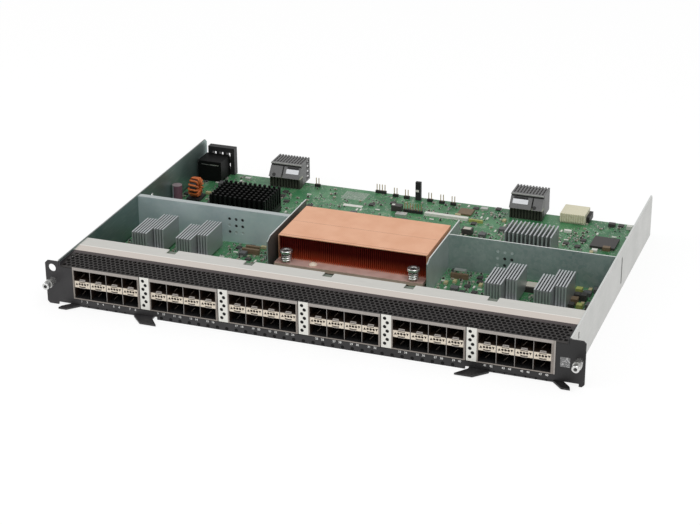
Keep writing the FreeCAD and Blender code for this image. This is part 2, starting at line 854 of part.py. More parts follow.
def make_copper_sink():
    """Chip, base plate on four sprung screws, and a roofed stack of fins open to the front and rear."""
    chip = middle_span(as_size(0), s.switch_chip_width)
    chip_y = middle_span(front + s.switch_chip_y, s.switch_chip_width)
    node(box(chip, chip_y, (s.board_top, s.copper_base_bottom)), "switch_chip")

    x = middle_span(as_size(0), s.copper_width)
    y = (front + s.copper_base_front, front + s.copper_base_rear)
    z = (s.copper_base_bottom, copper_floor)
    holes = [prism(a, b, z, s.sink_screw_radius + s.screw_fit, 8) for a, b in sink_screws]
    node(cut(box(x, y, z, "Plate"), group(holes)), "copper_base")

    body = new_body("copper_fins")
    begin = -(front + s.copper_rear)
    stack = rectangle(x, (copper_floor, s.copper_top))
    pad(body, sketch(body, "XZ_Plane", stack, begin), s.copper_rear - s.copper_front)
    gap = s.copper_fin_pitch - s.copper_fin
    gaps = int((SIZES["copper_width"] - SIZES["copper_fin"]) / SIZES["copper_fin_pitch"])
    first = -s.copper_fin_pitch * (gaps - 1) / 2 - gap / 2
    channel = sketch(
        body, "XZ_Plane", rectangle((first, first + gap), (copper_floor, s.copper_top - s.copper_roof)), begin
    )
    passage = pocket(body, channel, s.copper_rear - s.copper_front, reverse=True)
    repeat(body, passage, channel, "H_Axis", s.copper_fin_pitch, gaps)

    posts, screws, springs = [], [], []
    spring_top = copper_floor + s.sink_spring_height
    screw_tip = s.board_top + s.sink_screw_end
    for a, b in sink_screws:
        bore = prism(a, b, (screw_tip, s.copper_base_bottom), s.sink_screw_radius, 8)
        posts.append(cut(prism(a, b, (s.board_top, s.copper_base_bottom), s.sink_post_radius), bore))
        shank = prism(a, b, (screw_tip, spring_top), s.sink_screw_radius, 8)
        head_z = (spring_top, spring_top + s.sink_screw_head_height)
        screws.append(fuse([shank, prism(a, b, head_z, s.sink_screw_head_radius, 12)]))
        coil = (copper_floor, spring_top)
        inside = prism(a, b, coil, s.sink_spring_radius - s.sink_spring_wall, 12)
        springs.append(cut(prism(a, b, coil, s.sink_spring_radius, 12), inside))
    node(group(posts), "sink_posts")
    node(group(screws), "sink_screws")
    node(group(springs), "sink_springs")


# ---------------------------------------------------------------- finned sinks

phy_places = [
    (s.port_sink_a_inset - wall_inside, "a"), (s.port_sink_b_inset - wall_inside, "b"),
    (wall_inside - s.port_sink_c_inset, "c"), (wall_inside - s.port_sink_d_inset, "d"),
]


def fin_comb(body, x, y, z, count, fin):
    """Cuts a padded block into fins along Y; returns the pitch from fin to fin."""
    width = x[1] - x[0]
    pitch = (width - fin) / (count - 1)
    gap = sketch(body, "XZ_Plane", rectangle((x[0] + fin, x[0] + pitch), z), -y[1])
    repeat(body, pocket(body, gap, y[1] - y[0], reverse=True), gap, "H_Axis", pitch, count - 1)
    return pitch


def make_port_sinks():
    """Four port-driver chips, each under a sink whose fins stop short at two opposite corners for its pins."""
    chip_top = s.board_top + s.phy_chip_height
    floor = chip_top + s.phy_sink_base
    y = (front + s.phy_sink_front, front + s.phy_sink_front + s.phy_sink_depth)
    middle_y = (y[0] + y[1]) / 2
    chips, pins = [], []
    for place_x, letter in phy_places:
        x = middle_span(place_x, s.phy_sink_width)
        chip_x = middle_span(place_x, s.phy_chip_width)
        chips.append(box(chip_x, middle_span(middle_y, s.phy_chip_width), (s.board_top, chip_top)))

        body = new_body(f"port_sink_{letter}")
        pad(body, sketch(body, "XZ_Plane", rectangle(x, (chip_top, s.phy_sink_top)), -y[1]), s.phy_sink_depth)
        pitch = (s.phy_sink_width - s.phy_fin) / (s.phy_fin_count - 1)
        corner = pitch * s.phy_front_notch_fins
        rear_corner = rectangle((x[0], x[0] + corner), (y[1] - s.phy_notch_depth, y[1]))
        front_corner = rectangle((x[1] - corner, x[1]), (y[0], y[0] + s.phy_notch_depth))
        for outline in (rear_corner, front_corner):
            pocket(body, sketch(body, "XY_Plane", outline, floor), s.phy_sink_top - floor, reverse=True)
        fin_comb(body, x, y, (floor, s.phy_sink_top), s.phy_fin_count, s.phy_fin)

        for a, b in (
            (x[0] + corner / 2, y[1] - s.phy_notch_depth / 2), (x[1] - corner / 2, y[0] + s.phy_notch_depth / 2),
        ):
            pins.append(prism(a, b, (floor, floor + s.phy_pin_head), s.phy_pin_radius))
    node(group(chips), "port_chips")
    node(group(pins), "port_sink_pins")


def make_rear_sink():
    chip_top = s.board_top + s.phy_chip_height
    x = middle_span(s.rear_sink_x, s.rear_sink_width)
    y = middle_span(front + s.rear_sink_y, s.rear_sink_depth)
    chip_x = middle_span(s.rear_sink_x, s.phy_chip_width)
    chip_y = middle_span(front + s.rear_sink_y, s.phy_chip_width)
    node(box(chip_x, chip_y, (s.board_top, chip_top)), "fabric_chip")
    body = new_body("rear_sink")
    pad(body, sketch(body, "XZ_Plane", rectangle(x, (chip_top, s.rear_sink_top)), -y[1]), s.rear_sink_depth)
    fin_comb(body, x, y, (chip_top + s.phy_sink_base, s.rear_sink_top), s.rear_sink_fins, s.rear_sink_fin)


def make_brick():
    """The power brick and the black sink on it, sawn both ways into square pins."""
    x = middle_span(s.brick_x, s.brick_width)
    y = middle_span(front + s.brick_y, s.brick_depth)
    node(box(x, y, (s.board_top, s.brick_top)), "power_brick")
    body = new_body("brick_sink")
    z = (s.brick_top + s.brick_sink_base, s.brick_sink_top)
    pad(body, sketch(body, "XZ_Plane", rectangle(x, (s.brick_top, z[1])), -y[1]), s.brick_depth)
    fin_comb(body, x, y, z, s.brick_pins_across, s.brick_pin)
    pitch = (s.brick_depth - s.brick_pin) / (s.brick_pins_deep - 1)
    gap = sketch(body, "YZ_Plane", rectangle((y[0] + s.brick_pin, y[0] + pitch), z), x[0])
    across = pocket(body, gap, s.brick_width, reverse=True)
    repeat(body, across, gap, "H_Axis", pitch, s.brick_pins_deep - 1)


# ---------------------------------------------------------------- backplane connectors

def make_signal_connector(label, middle, groove_x):
    """A grey housing with a leaning front, a lipped and slotted top and an open rear, over its dark wafers."""
    x = middle_span(middle, s.signal_width)
    y = (rear - s.signal_front_inset, rear + s.signal_overhang)
    wafer = (rear - s.wafer_front_inset, rear - s.wafer_front_inset + s.wafer_depth)
    ledge = y[0] + s.signal_lean
    lip = s.signal_top - s.signal_lip
    body = new_body(f"{label}_connector")
    section = [
        (y[0], s.signal_foot), (ledge, lip - s.signal_lip_slot), (ledge + s.signal_lip, lip - s.signal_lip_slot),
        (ledge + s.signal_lip, lip), (ledge, lip), (ledge, s.signal_top), (y[1], s.signal_top),
        (y[1], s.signal_underside), (wafer[1], s.signal_underside), (wafer[1], s.signal_foot),
    ]
    pad(body, sketch(body, "YZ_Plane", section, x[0]), s.signal_width)
    pitch = (s.signal_width - s.signal_slot) / s.signal_slot_count
    start = x[0] + pitch / 2
    begin = ledge + s.signal_slot_start
    top = (s.signal_top - s.signal_slot_depth, s.signal_top)
    groove = sketch(body, "XZ_Plane", rectangle((start, start + s.signal_slot), top), -y[1])
    repeat(body, pocket(body, groove, y[1] - begin, reverse=True), groove, "H_Axis", pitch, s.signal_slot_count)
    split = rectangle(middle_span(groove_x, s.signal_slot), (s.signal_foot, lip))
    depth = ledge - y[0] + s.signal_lip
    pocket(body, sketch(body, "XZ_Plane", split, -(y[0] + depth)), depth, reverse=True)
    bay = sketch(
        body, "YZ_Plane",
        rectangle((y[1] - s.signal_bay_depth, y[1]), (s.signal_bay_first, s.signal_bay_first + s.signal_bay)), x[0],
    )
    repeat(
        body, pocket(body, bay, s.signal_width, reverse=True), bay, "V_Axis", s.signal_bay_pitch,
        s.signal_bay_count,
    )

    wafers = new_body(f"{label}_wafers")
    block = rectangle(x, (s.board_top, s.signal_foot))
    pad(wafers, sketch(wafers, "XZ_Plane", block, -wafer[1]), s.wafer_depth)
    tooth = sketch(
        wafers, "XZ_Plane", rectangle((start, start + s.wafer_tooth), (s.board_top, s.signal_foot)),
        -(wafer[0] + s.signal_slot_depth),
    )
    cut_tooth = pocket(wafers, tooth, s.signal_slot_depth, reverse=True)
    repeat(wafers, cut_tooth, tooth, "H_Axis", pitch, s.signal_slot_count)


def make_power_connector():
    """A black block on the board and, over the rear edge, its shroud with two rows of three blade windows."""
    middle = s.power_block_inset - wall_inside
    y = (rear - s.power_block_front_inset, rear - s.power_plate_front_inset)
    node(box(middle_span(middle, s.power_block_width), y, (s.board_top, s.power_block_top)), "power_block")
    middle = s.power_plate_inset - wall_inside
    plate_y = (y[1], y[1] + s.power_plate_depth)
    shroud = box(
        middle_span(middle, s.power_plate_width), plate_y, (s.board_top, s.power_plate_top), "Shroud"
    )
    windows = []
    for i in (-1, 0, 1):
        for low in (s.power_slot_low, s.power_slot_high):
            slot_x = middle_span(middle + s.power_slot_shift + i * s.power_slot_across, s.power_slot)
            windows.append(box(slot_x, plate_y, (low, low + s.power_slot_height), "Window"))
    node(cut(shroud, group(windows)), "power_shroud")


def make_side_plug():
    """The cream plug at the board's rear edge, ribbed in front, with its dark latch on the right."""
    x = middle_span(s.side_plug_x, s.side_plug_width)
    y = (rear - s.side_plug_front_inset, rear + s.side_plug_overhang)
    foot = y[0] + s.side_plug_foot_setback
    body = new_body("side_plug")
    section = [
        (y[0], s.side_plug_underside), (y[0], s.side_plug_top), (y[1], s.side_plug_top),
        (y[1], s.board_top), (foot, s.board_top), (foot, s.side_plug_underside),
    ]
    pad(body, sketch(body, "YZ_Plane", section, x[0]), s.side_plug_width)
    pitch = (s.side_plug_width - s.side_plug_rib) / s.side_plug_rib_count
    start = x[0] + s.side_plug_rib
    groove = sketch(
        body, "XZ_Plane",
        rectangle((start, start + pitch - s.side_plug_rib), (s.side_plug_underside, s.side_plug_top)),
        -(y[0] + s.side_plug_rib_depth),
    )
    ribs = pocket(body, groove, s.side_plug_rib_depth, reverse=True)
    repeat(body, ribs, groove, "H_Axis", pitch, s.side_plug_rib_count)
    latch_y = (rear - s.side_latch_front_inset, y[1])
    node(box((x[1], x[1] + s.side_latch_width), latch_y, (s.board_top, s.side_latch_top)), "side_latch")


# ---------------------------------------------------------------- parts on the board

# each header's left end, how far its middle stands in from the rear edge, and its pins, one mark for each
HEADERS = (
    (-99.6, 5.6, "||"), (-41.9, 1.7, "||||"), (-24.1, 5.3, "||"), (-13.2, 6.2, "||"), (8.9, 6.1, "||"),
    (20.4, 6.9, "||"), (31.2, 7.5, "||"), (-4.0, 35.7, "|||||||"),
)


def make_small_parts():
    z = s.board_top
    choke_x = s.choke_inset - wall_inside
    choke_y = rear - s.choke_rear_inset
    base = middle_span(choke_x, s.choke_base_width), middle_span(choke_y, s.choke_base_depth)
    node(box(*base, (z, s.choke_base_top)), "choke_base")
    # the ring stands on one of its flats, on its base
    rise = s.choke_base_top + s.choke_radius * math.cos(math.pi / 16)
    rings = []
    for radius in (s.choke_radius, s.choke_bore):
        ring = prism(0, 0, (0, s.choke_thick), radius, 16)
        upright = FreeCAD.Rotation(FreeCAD.Vector(0, 1, 0), 90) * FreeCAD.Rotation(FreeCAD.Vector(0, 0, 1), 180 / 16)
        place(ring, choke_x - s.choke_thick / 2, choke_y, rise, upright)
        rings.append(ring)
    node(cut(*rings), "choke_winding")
    can = (z, z + s.capacitor_height)
    can_x = s.capacitor_inset - wall_inside
    node(prism(can_x, rear - s.capacitor_rear_inset, can, s.capacitor_radius, 24), "capacitor")

    chip_x = middle_span(wall_inside - s.control_chip_inset, s.control_chip_width)
    chip_y = middle_span(front + s.control_chip_y, s.control_chip_width)
    node(box(chip_x, chip_y, (z, z + s.control_chip_height)), "control_chip")

    bases, pins = [], []
    for left, inset, marks in HEADERS:
        y = rear - inset
        bases.append(box((as_size(left), left + s.header_pitch * len(marks)), middle_span(y, s.header_base),
                         (z, z + s.header_base)))
        for i in range(len(marks)):
            x = left + s.header_pitch * (i + 0.5)
            pins.append(box(middle_span(x, s.header_pin), middle_span(y, s.header_pin),
                            (z + s.header_base, z + s.header_pin_height)))
    node(group(bases), "header_bases")
    node(group(pins), "header_pins")

    tower = middle_span(s.tower_x, s.tower_width), middle_span(rear - s.tower_inset, s.tower_depth)
    node(box(*tower, (z, z + s.tower_height)), "test_tower")
    relays = []
    for x, inset in ((s.relay_left_x, s.relay_left_inset), (s.relay_right_x, s.relay_right_inset)):
        spans = middle_span(x, s.relay_width), middle_span(rear - inset, s.relay_depth)
        relays.append(box(*spans, (z, z + s.relay_height)))
    node(group(relays), "relays")
    socket = (middle_span(s.strip_socket_x, s.strip_socket_width),
              middle_span(rear - s.strip_socket_inset, s.strip_socket_depth))
    node(box(*socket, (z, z + s.strip_socket_height)), "strip_socket")
    clip = (middle_span(s.clip_x, s.clip_width), middle_span(front + s.clip_y, s.clip_depth))
    saddle = box(*clip, (z, z + s.clip_height), "Saddle")
    inside = (clip[0][0] + s.clip_sheet, clip[0][1] - s.clip_sheet)
    hollow = box(inside, clip[1], (z, z + s.clip_height - s.clip_sheet), "Hollow")
    node(cut(saddle, hollow), "board_clip")


# ---------------------------------------------------------------- levers and thumbscrews

def make_lever(label, side):
    """A flat ejector lever: finger tab through the panel's notch, arm behind it, hook at the outer end."""
    body = new_body(f"{label}_lever")
    arm = (front + s.lever_arm_front, front + s.lever_arm_rear)
    knee = front - s.tab_knee
    reach = front - s.hook_reach
    heel = s.lever_arm_rear - s.lever_arm_front
    from_pivot = [
        (-s.tab_root_inner, knee), (-s.tab_tip_inner, front - s.tab_reach), (-s.tab_tip_outer, front - s.tab_reach),
        (-s.tab_root_outer, knee), (-s.tab_root_outer, arm[0]), (s.hook_root_inner, arm[0]),
        (s.hook_bend, reach), (s.hook_tip, reach), (s.hook_tip - s.tab_knee / 2, reach + s.hook_tip_width),
        (s.hook_root_outer, arm[0]), (heel, arm[1]), (-heel, arm[1]), (-s.tab_root_inner, front + s.lever_pivot_y),
    ]
    pivot = lever_pivot(side)
    outline = [(pivot + side * x, y) for x, y in from_pivot]
    pad(body, sketch(body, "XY_Plane", outline, s.lever_floor_gap), s.lever_thick)
    hole = round_outline(
        body, pivot, front + s.lever_pivot_y, s.pivot_radius + s.pivot_fit, "XY_Plane", s.lever_floor_gap,
    )
    pocket(body, hole, s.lever_thick, reverse=True)

    head_top = s.lever_floor_gap - s.pivot_head_gap
    head_bottom = head_top - s.pivot_head_height
    rivet = [
        (0, head_bottom), (s.pivot_head_radius, head_bottom), (s.pivot_head_radius, head_top),
        (s.pivot_radius, head_top), (s.pivot_radius, joggle_top), (0, joggle_top),
    ]
    turned(f"{label}_lever_pivot", rivet, pivot, front + s.lever_pivot_y)


def make_thumbscrew(label, side):
    """A screw turned by its knob, held captive by the ferrule in the panel's ear that its thin shank runs in."""
    forward = FreeCAD.Rotation(FreeCAD.Vector(1, 0, 0), 90)
    place_at = (thumb_x(side), front, s.thumb_height)
    skirt = s.ferrule_reach + s.thumb_gap
    crown = s.thumb_radius - s.thumb_crown
    shoulder = -s.panel_thick - s.thumb_gap
    outline = [
        (0, -s.thread_reach), (s.thread_radius, -s.thread_reach), (s.thread_radius, shoulder),
        (s.shank_radius, shoulder), (s.shank_radius, skirt), (s.thumb_radius, skirt),
        (s.thumb_radius, s.thumb_reach - s.thumb_crown), (crown, s.thumb_reach), (0, s.thumb_reach),
    ]
    screw = turned(f"{label}_thumbscrew", outline, *place_at, forward)
    slot = sketch(
        screw, "XY_Plane", rectangle((-crown, crown), (-s.thumb_slot / 2, s.thumb_slot / 2)),
        s.thumb_reach - s.thumb_slot_depth,
    )
    pocket(screw, slot, s.thumb_slot_depth, reverse=True)

    bore = s.shank_radius + s.shank_fit
    sleeve = rectangle((bore, s.ferrule_radius), (-s.panel_thick, s.ferrule_reach))
    turned(f"{label}_ferrule", sleeve, *place_at, forward)


# ---------------------------------------------------------------- build, check and write

def build():
    make_tray()
    make_faceplate()
    make_grille()
    make_bracket()
    make_cages()
    make_strips()
    make_board()
    make_air_walls()
    make_copper_sink()
    make_port_sinks()
    make_rear_sink()
    make_brick()
    make_signal_connector("left_signal", s.signal_left_x, s.signal_left_x - s.left_groove_shift)
    make_signal_connector("right_signal", s.signal_right_x, s.signal_right_x + s.right_groove_shift)
    make_power_connector()
    make_side_plug()
    make_small_parts()
    for label, side in (("left", -1), ("right", 1)):
        make_lever(label, side)
        make_thumbscrew(label, side)
    doc.recompute()


def check():
    failed = [o.Name for o in doc.Objects if {"Invalid", "Error"} & set(o.State)]
    assert not failed, f"objects that did not build: {failed}"
    for obj in NODES:
        shape = obj.Shape
        assert not shape.isNull() and shape.isValid() and shape.Solids, f"bad shape: {obj.Label}"


def write():
    os.makedirs("parts", exist_ok=True)
    for obj in NODES:
        obj.Shape.exportStep(f"parts/{obj.Label}.step")
    solids = sum(len(obj.Shape.Solids) for obj in NODES)
    print(f"{len(NODES)} sub-parts, {solids} solids")


build()
check()
write()
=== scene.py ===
"""A line card for a modular switch, dressed: each section makes or finishes one piece or group of like pieces."""
import json
import math
import random

import bmesh
import bpy
from mathutils import Matrix, Vector

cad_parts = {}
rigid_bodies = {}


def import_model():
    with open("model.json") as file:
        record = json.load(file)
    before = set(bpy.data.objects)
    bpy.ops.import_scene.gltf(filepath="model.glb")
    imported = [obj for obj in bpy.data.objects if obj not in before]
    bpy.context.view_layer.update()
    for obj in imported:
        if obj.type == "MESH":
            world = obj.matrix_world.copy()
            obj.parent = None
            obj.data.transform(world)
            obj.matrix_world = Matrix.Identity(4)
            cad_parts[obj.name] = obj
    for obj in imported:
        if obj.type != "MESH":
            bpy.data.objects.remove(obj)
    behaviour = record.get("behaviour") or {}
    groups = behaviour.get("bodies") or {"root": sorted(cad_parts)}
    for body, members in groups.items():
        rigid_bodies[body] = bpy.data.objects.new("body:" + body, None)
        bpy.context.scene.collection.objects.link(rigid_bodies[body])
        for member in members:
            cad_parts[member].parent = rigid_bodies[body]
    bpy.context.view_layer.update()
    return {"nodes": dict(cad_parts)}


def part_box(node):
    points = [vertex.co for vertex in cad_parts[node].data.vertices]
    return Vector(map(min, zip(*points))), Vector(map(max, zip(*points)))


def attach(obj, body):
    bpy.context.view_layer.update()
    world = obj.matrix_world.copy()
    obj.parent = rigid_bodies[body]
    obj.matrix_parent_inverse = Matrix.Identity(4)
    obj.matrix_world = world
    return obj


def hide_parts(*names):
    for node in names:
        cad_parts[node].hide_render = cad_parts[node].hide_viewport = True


for spare in list(bpy.data.objects):
    bpy.data.objects.remove(spare)

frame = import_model()
nodes = frame["nodes"]

# ------------------------------------------------------------------ the room
# A pale seamless floor, one large soft lamp high on the front right and a weaker one on the left.
# The camera stands in front of the right half of the card and looks down at it from about 24 degrees.

MM = 0.001


def placed(name, data):
    """A new object in the scene."""
    made = bpy.data.objects.new(name, data)
    bpy.context.collection.objects.link(made)
    return made


camera = placed("camera", bpy.data.cameras.new("camera"))
camera.data.lens = 96.632
camera.data.sensor_width = 36
camera.data.clip_end = 50
camera.matrix_world = Matrix((
    (0.940417, -0.135420, 0.311892, 0.479276),
    (0.339963, 0.391715, -0.854976, -1.353843),
    (-0.006392, 0.910066, 0.414413, 0.659459),
    (0, 0, 0, 1),
))
bpy.context.scene.camera = camera
bpy.context.scene.view_settings.view_transform = "Standard"


def box_mm(name):
    """The low and high corners of a CAD node's box, in millimetres."""
    return [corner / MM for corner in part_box(name)]


def tilted(degrees, axis="X"):
    return Matrix.Rotation(math.radians(degrees), 4, axis)


class Wire:
    """A shader value. Sums on it add Math nodes to the finish that it belongs to."""

    def __init__(self, finish, socket):
        self.finish, self.socket = finish, socket

    def sum(self, operation, *values, clamp=False):
        settings = {"operation": operation, "use_clamp": clamp}
        return self.finish.node("Math", settings, dict(enumerate(values)))

    def __add__(self, other):
        return self.sum("ADD", self, other)

    __radd__ = __add__

    def __sub__(self, other):
        return self.sum("SUBTRACT", self, other)

    def __rsub__(self, other):
        return self.sum("SUBTRACT", other, self)

    def __mul__(self, other):
        return self.sum("MULTIPLY", self, other)

    __rmul__ = __mul__

    def __gt__(self, other):
        return self.sum("GREATER_THAN", self, other)

    def __lt__(self, other):
        return self.sum("LESS_THAN", self, other)

    def step(self, start, end):
        """0 up to start, 1 from end on, and a straight ramp between them."""
        return self.finish.node("MapRange", {"clamp": True}, {0: self, 1: start, 2: end, 3: 0.0, 4: 1.0})


def feed(tree, socket, value):
    """Links a value to a node's input, or sets it there."""
    value = value.socket if isinstance(value, Wire) else value
    if isinstance(value, bpy.types.NodeSocket):
        tree.links.new(value, socket)
    elif socket.type == "RGBA" and len(value) == 3:
        socket.default_value = (*value, 1)
    else:
        socket.default_value = value


def wire_node(tree, kind, settings=None, inputs=None, out=0):
    """Adds a node to a tree, links or sets its inputs and returns one output."""
    made = tree.nodes.new(kind)
    for key, value in (settings or {}).items():
        setattr(made, key, value)
    for key, value in (inputs or {}).items():
        feed(tree, made.inputs[key], value)
    return made.outputs[out]


class Finish:
    """One finish. node() adds any node, and coat() feeds the surface shader."""

    def __init__(self, name):
        self.material = bpy.data.materials.new(name)
        self.material.use_nodes = True
        self.tree = self.material.node_tree
        self.shader = self.tree.nodes["Principled BSDF"]
        self.place = self.node("TexCoord", out="Object")

    def node(self, kind, settings=None, inputs=None, out=0):
        return Wire(self, wire_node(self.tree, "ShaderNode" + kind, settings, inputs, out))

    def mix(self, share, first, second):
        """Goes from the first colour to the second as share goes from 0 to 1."""
        return self.node("Mix", {"data_type": "RGBA"}, {0: share, 6: first, 7: second}, out=2)

    def over(self, tone, *layers):
        """Lays (share, colour) layers over a tone."""
        for share, colour in layers:
            tone = self.mix(share, tone, colour)
        return tone

    def grain(self, size_mm, detail=3.0, stretch=(1, 1, 1)):
        """Noise from 0 to 1 with patches of about this size, drawn out along an axis by a small stretch."""
        place = self.node("Mapping", {"vector_type": "POINT"}, {0: self.place, 3: stretch})
        return self.node("TexNoise", None, {0: place, "Scale": 1 / (size_mm * MM), "Detail": detail})

    def cells(self, size_mm, distance="CHEBYCHEV", out="Distance"):
        settings = {"distance": distance}
        return self.node("TexVoronoi", settings, {0: self.place, "Scale": 1 / (size_mm * MM)}, out)

    def axis(self, letter):
        return self.node("SeparateXYZ", None, {0: self.place}, out=letter)

    def mm(self, letter):
        """How far along an axis of the part, in millimetres."""
        return self.axis(letter) * (1 / MM)

    def facing(self, letter):
        """The normal's reach along an axis, from -1 to 1."""
        return self.node("SeparateXYZ", None, {0: self.node("NewGeometry", out="Normal")}, out=letter)

    def patches(self, size_mm, distance="CHEBYCHEV"):
        """Cells of about this size that have a random value each."""
        return self.node("SeparateColor", None, {0: self.cells(size_mm, distance, "Color")})

    def bands(self, letter, scale):
        return self.node("TexWave", {"bands_direction": letter}, {0: self.place, "Scale": scale, "Distortion": 0.0})

    def bump(self, height, strength, depth_mm):
        return self.node("Bump", None, {"Strength": strength, "Distance": depth_mm * MM, "Height": height})

    def coat(self, **inputs):
        for key, value in inputs.items():
            feed(self.tree, self.shader.inputs[key.replace("_", " ").title().replace("Ior", "IOR")], value)
        return self


def backdrop(name, strength, albedo):
    """A floor that looks white and still shows the shadow, and that lights the object as a pale floor does."""
    made = Finish(name)
    seen = made.node("LightPath", out="Is Camera Ray")
    glossy = made.node("LightPath", out="Is Glossy Ray")
    clear = made.node("LightPath", out="Is Transmission Ray")
    shown = seen.sum("MAXIMUM", seen, seen.sum("MAXIMUM", glossy, clear))
    plain = made.node("BsdfDiffuse", None, {0: (0.85, 0.85, 0.85)})
    veil = made.node("BsdfDiffuse", None, {0: (albedo, albedo, albedo)})
    glow = made.node("Emission", None, {0: (1, 1, 1), 1: strength})
    both = made.node("AddShader", None, {0: veil, 1: glow})
    result = made.node("MixShader", None, {0: shown, 1: plain, 2: both})
    made.tree.links.new(result.socket, made.tree.nodes["Material Output"].inputs[0])
    return made


floor_mesh = bpy.data.meshes.new("floor")
floor_mesh.from_pydata([(-12, -12, 0), (12, -12, 0), (12, 12, 0), (-12, 12, 0)], [], [(0, 1, 2, 3)])
floor = placed("floor", floor_mesh)
floor_mesh.materials.append(backdrop("pale_floor", 0.80, 0.24).material)

world = bpy.data.worlds.new("room")
bpy.context.scene.world = world
world.use_nodes = True
room = world.node_tree
rays = room.nodes.new("ShaderNodeLightPath").outputs
seen = {0: rays["Is Camera Ray"], 1: rays["Is Transmission Ray"]}
shown = wire_node(room, "ShaderNodeMath", {"operation": "MAXIMUM"}, seen)
level = wire_node(room, "ShaderNodeMapRange", None, {0: shown, 3: 0.62, 4: 1.0})
sky = room.nodes["Background"].inputs
feed(room, sky[0], (1, 1, 1))
feed(room, sky[1], level)


def lamp(name, at, size, power):
    """A square soft lamp that points at the middle of the card."""
    made = placed(name, bpy.data.lights.new(name, "AREA"))
    made.data.size = size
    made.data.energy = power
    made.location = at
    made.rotation_euler = (Vector((0, 0, 0.02)) - Vector(at)).to_track_quat("-Z", "Y").to_euler()


lamp("key", (0.9, -0.9, 2.0), 1.4, 16)
lamp("left_fill", (-1.6, -0.6, 1.1), 1.2, 5)

# ------------------------------------------------------------------ sheet steel
# The tray, the bracket behind the vent, the baffles and the duct walls are folded from zinc-coated sheet.
# The coat is satin, with a faint spangle and fine rolling lines, and it scuffs where cards slide past.


def dress(finish, *names, slot=None):
    """Gives CAD nodes their finish."""
    for name in names:
        mesh = nodes[name].data
        mesh.materials.clear()
        mesh.materials.append(finish.material)


def two_tone(
    name, size_mm, detail, dark, light, rough, spread=0.2, metallic=0.0,
    stretch=(1, 1, 1), ramp=None, bump=None, **fixed,
):
    """A finish whose tone and roughness wander together over patches of a size. A ramp sharpens the tone."""
    made = Finish(name)
    share = made.grain(size_mm, detail, stretch)
    if bump:
        fixed["normal"] = made.bump(share, *bump)
    tone = made.mix(share.step(*ramp) if ramp else share, dark, light)
    return made.coat(base_color=tone, metallic=metallic, roughness=share * spread + rough, **fixed)


wall_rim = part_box("left_baffle")[1].z / MM


def zinc_sheet(name, dark, light, metallic=0.85, inner=False, rim=(0.88, 0.90, 0.89)):
    """Zinc-coated sheet between two tones; the tones differ with the light that each wall gets."""
    made = Finish(name)
    spangle = made.patches(2.5, "EUCLIDEAN")
    cloud = made.grain(30)
    scuffs = made.grain(1.2, 6, (1, 0.08, 1)).step(0.62, 0.75)
    layers = [
        (cloud.step(0.35, 0.65), light), (spangle * 0.12, (0.86, 0.86, 0.83)), (scuffs * 0.18, (0.90, 0.90, 0.88)),
        # painted highlight: the top edge of each wall takes its rim tone, as the light along the edge
        (made.mm("Z") > wall_rim - 0.15, rim),
    ]
    if inner:  # the face beside the copper gets a painted reflection of its dark fins
        layers.append(((made.facing("X") > 0.5) * (made.mm("X") < 0) * 0.8, (0.10, 0.075, 0.065)))
    return made.coat(
        base_color=made.over(dark, *layers), metallic=metallic, roughness=cloud * 0.14 + 0.30 + spangle * 0.05,
        normal=made.bump(made.grain(0.5, 4, (1, 0.1, 1)), 0.12, 0.05),
    )


tray_zinc = Finish("zinc_tray")
facing = tray_zinc.facing("X")
inward = tray_zinc.mm("X")
# Painted shade: the walls' inner faces are a darker green-grey. Along the top edges the right rim is painted as a
# highlight and the left rim as shade.
shaded_inner_faces = (facing > 0.5) * (inward < 0) + (facing < -0.5) * (inward > 0)
sheen = tray_zinc.grain(30)
lines = tray_zinc.grain(1.2, 6, (1, 0.08, 1)).step(0.55, 0.8)
rim_highlight_and_shade = tray_zinc.mix(inward > 0, (0.22, 0.24, 0.23), (0.88, 0.90, 0.88))
tone = tray_zinc.over(
    (0.55, 0.55, 0.53), (shaded_inner_faces, (0.19, 0.29, 0.27)), (sheen.step(0.3, 0.7) * 0.3, (0.42, 0.44, 0.42)),
    (tray_zinc.mm("Z") > wall_rim + 0.5, rim_highlight_and_shade), (lines * 0.2, (0.88, 0.88, 0.86)),
)
tray_zinc.coat(
    base_color=tone, metallic=0.8, roughness=sheen * 0.15 + 0.30,
    normal=tray_zinc.bump(tray_zinc.grain(0.5, 4, (1, 0.1, 1)), 0.12, 0.05),
)
dress(tray_zinc, "tray")
dress(zinc_sheet(
    "zinc_left_baffle", (0.50, 0.62, 0.64), (0.60, 0.72, 0.73), 0.35, rim=(0.52, 0.57, 0.57),
), "left_baffle")
dress(zinc_sheet("zinc_right_baffle", (0.22, 0.31, 0.29), (0.30, 0.39, 0.37), 0.35), "right_baffle")
duct_zinc = zinc_sheet("zinc_ducts", (0.40, 0.46, 0.45), (0.50, 0.56, 0.55), 0.6, inner=True)
dress(duct_zinc, "left_duct_wall", "right_duct_wall")

bracket_zinc = Finish("zinc_bracket")
bend = bracket_zinc.mm("Y")
satin_lines = bracket_zinc.grain(1.5, 5, (0.15, 1, 1))
# Painted light: a warm band across the front of the flange stands for the light on its sloping strip, and a pale
# line along the bend is a painted highlight.
tone = bracket_zinc.over(
    (0.66, 0.65, 0.61), (satin_lines, (0.76, 0.75, 0.71)), (bend < -110.3, (0.74, 0.67, 0.61)),
    ((bend > -110.9) * (bend < -110.0), (0.95, 0.93, 0.88)),
)
bracket_zinc.coat(base_color=tone, metallic=0.35, roughness=satin_lines * 0.15 + 0.36)
dress(bracket_zinc, "top_bracket")

# ------------------------------------------------------------------ front panel and levers
# The panel is one pressed sheet with a fine black powder coat, and so are the two ejector levers below it.
# The coat has a tight orange peel and paler patches of dust.

powder = Finish("black_powder_coat")
peel = powder.grain(0.35, 2)
dust = powder.grain(18, 4).step(0.4, 0.75)
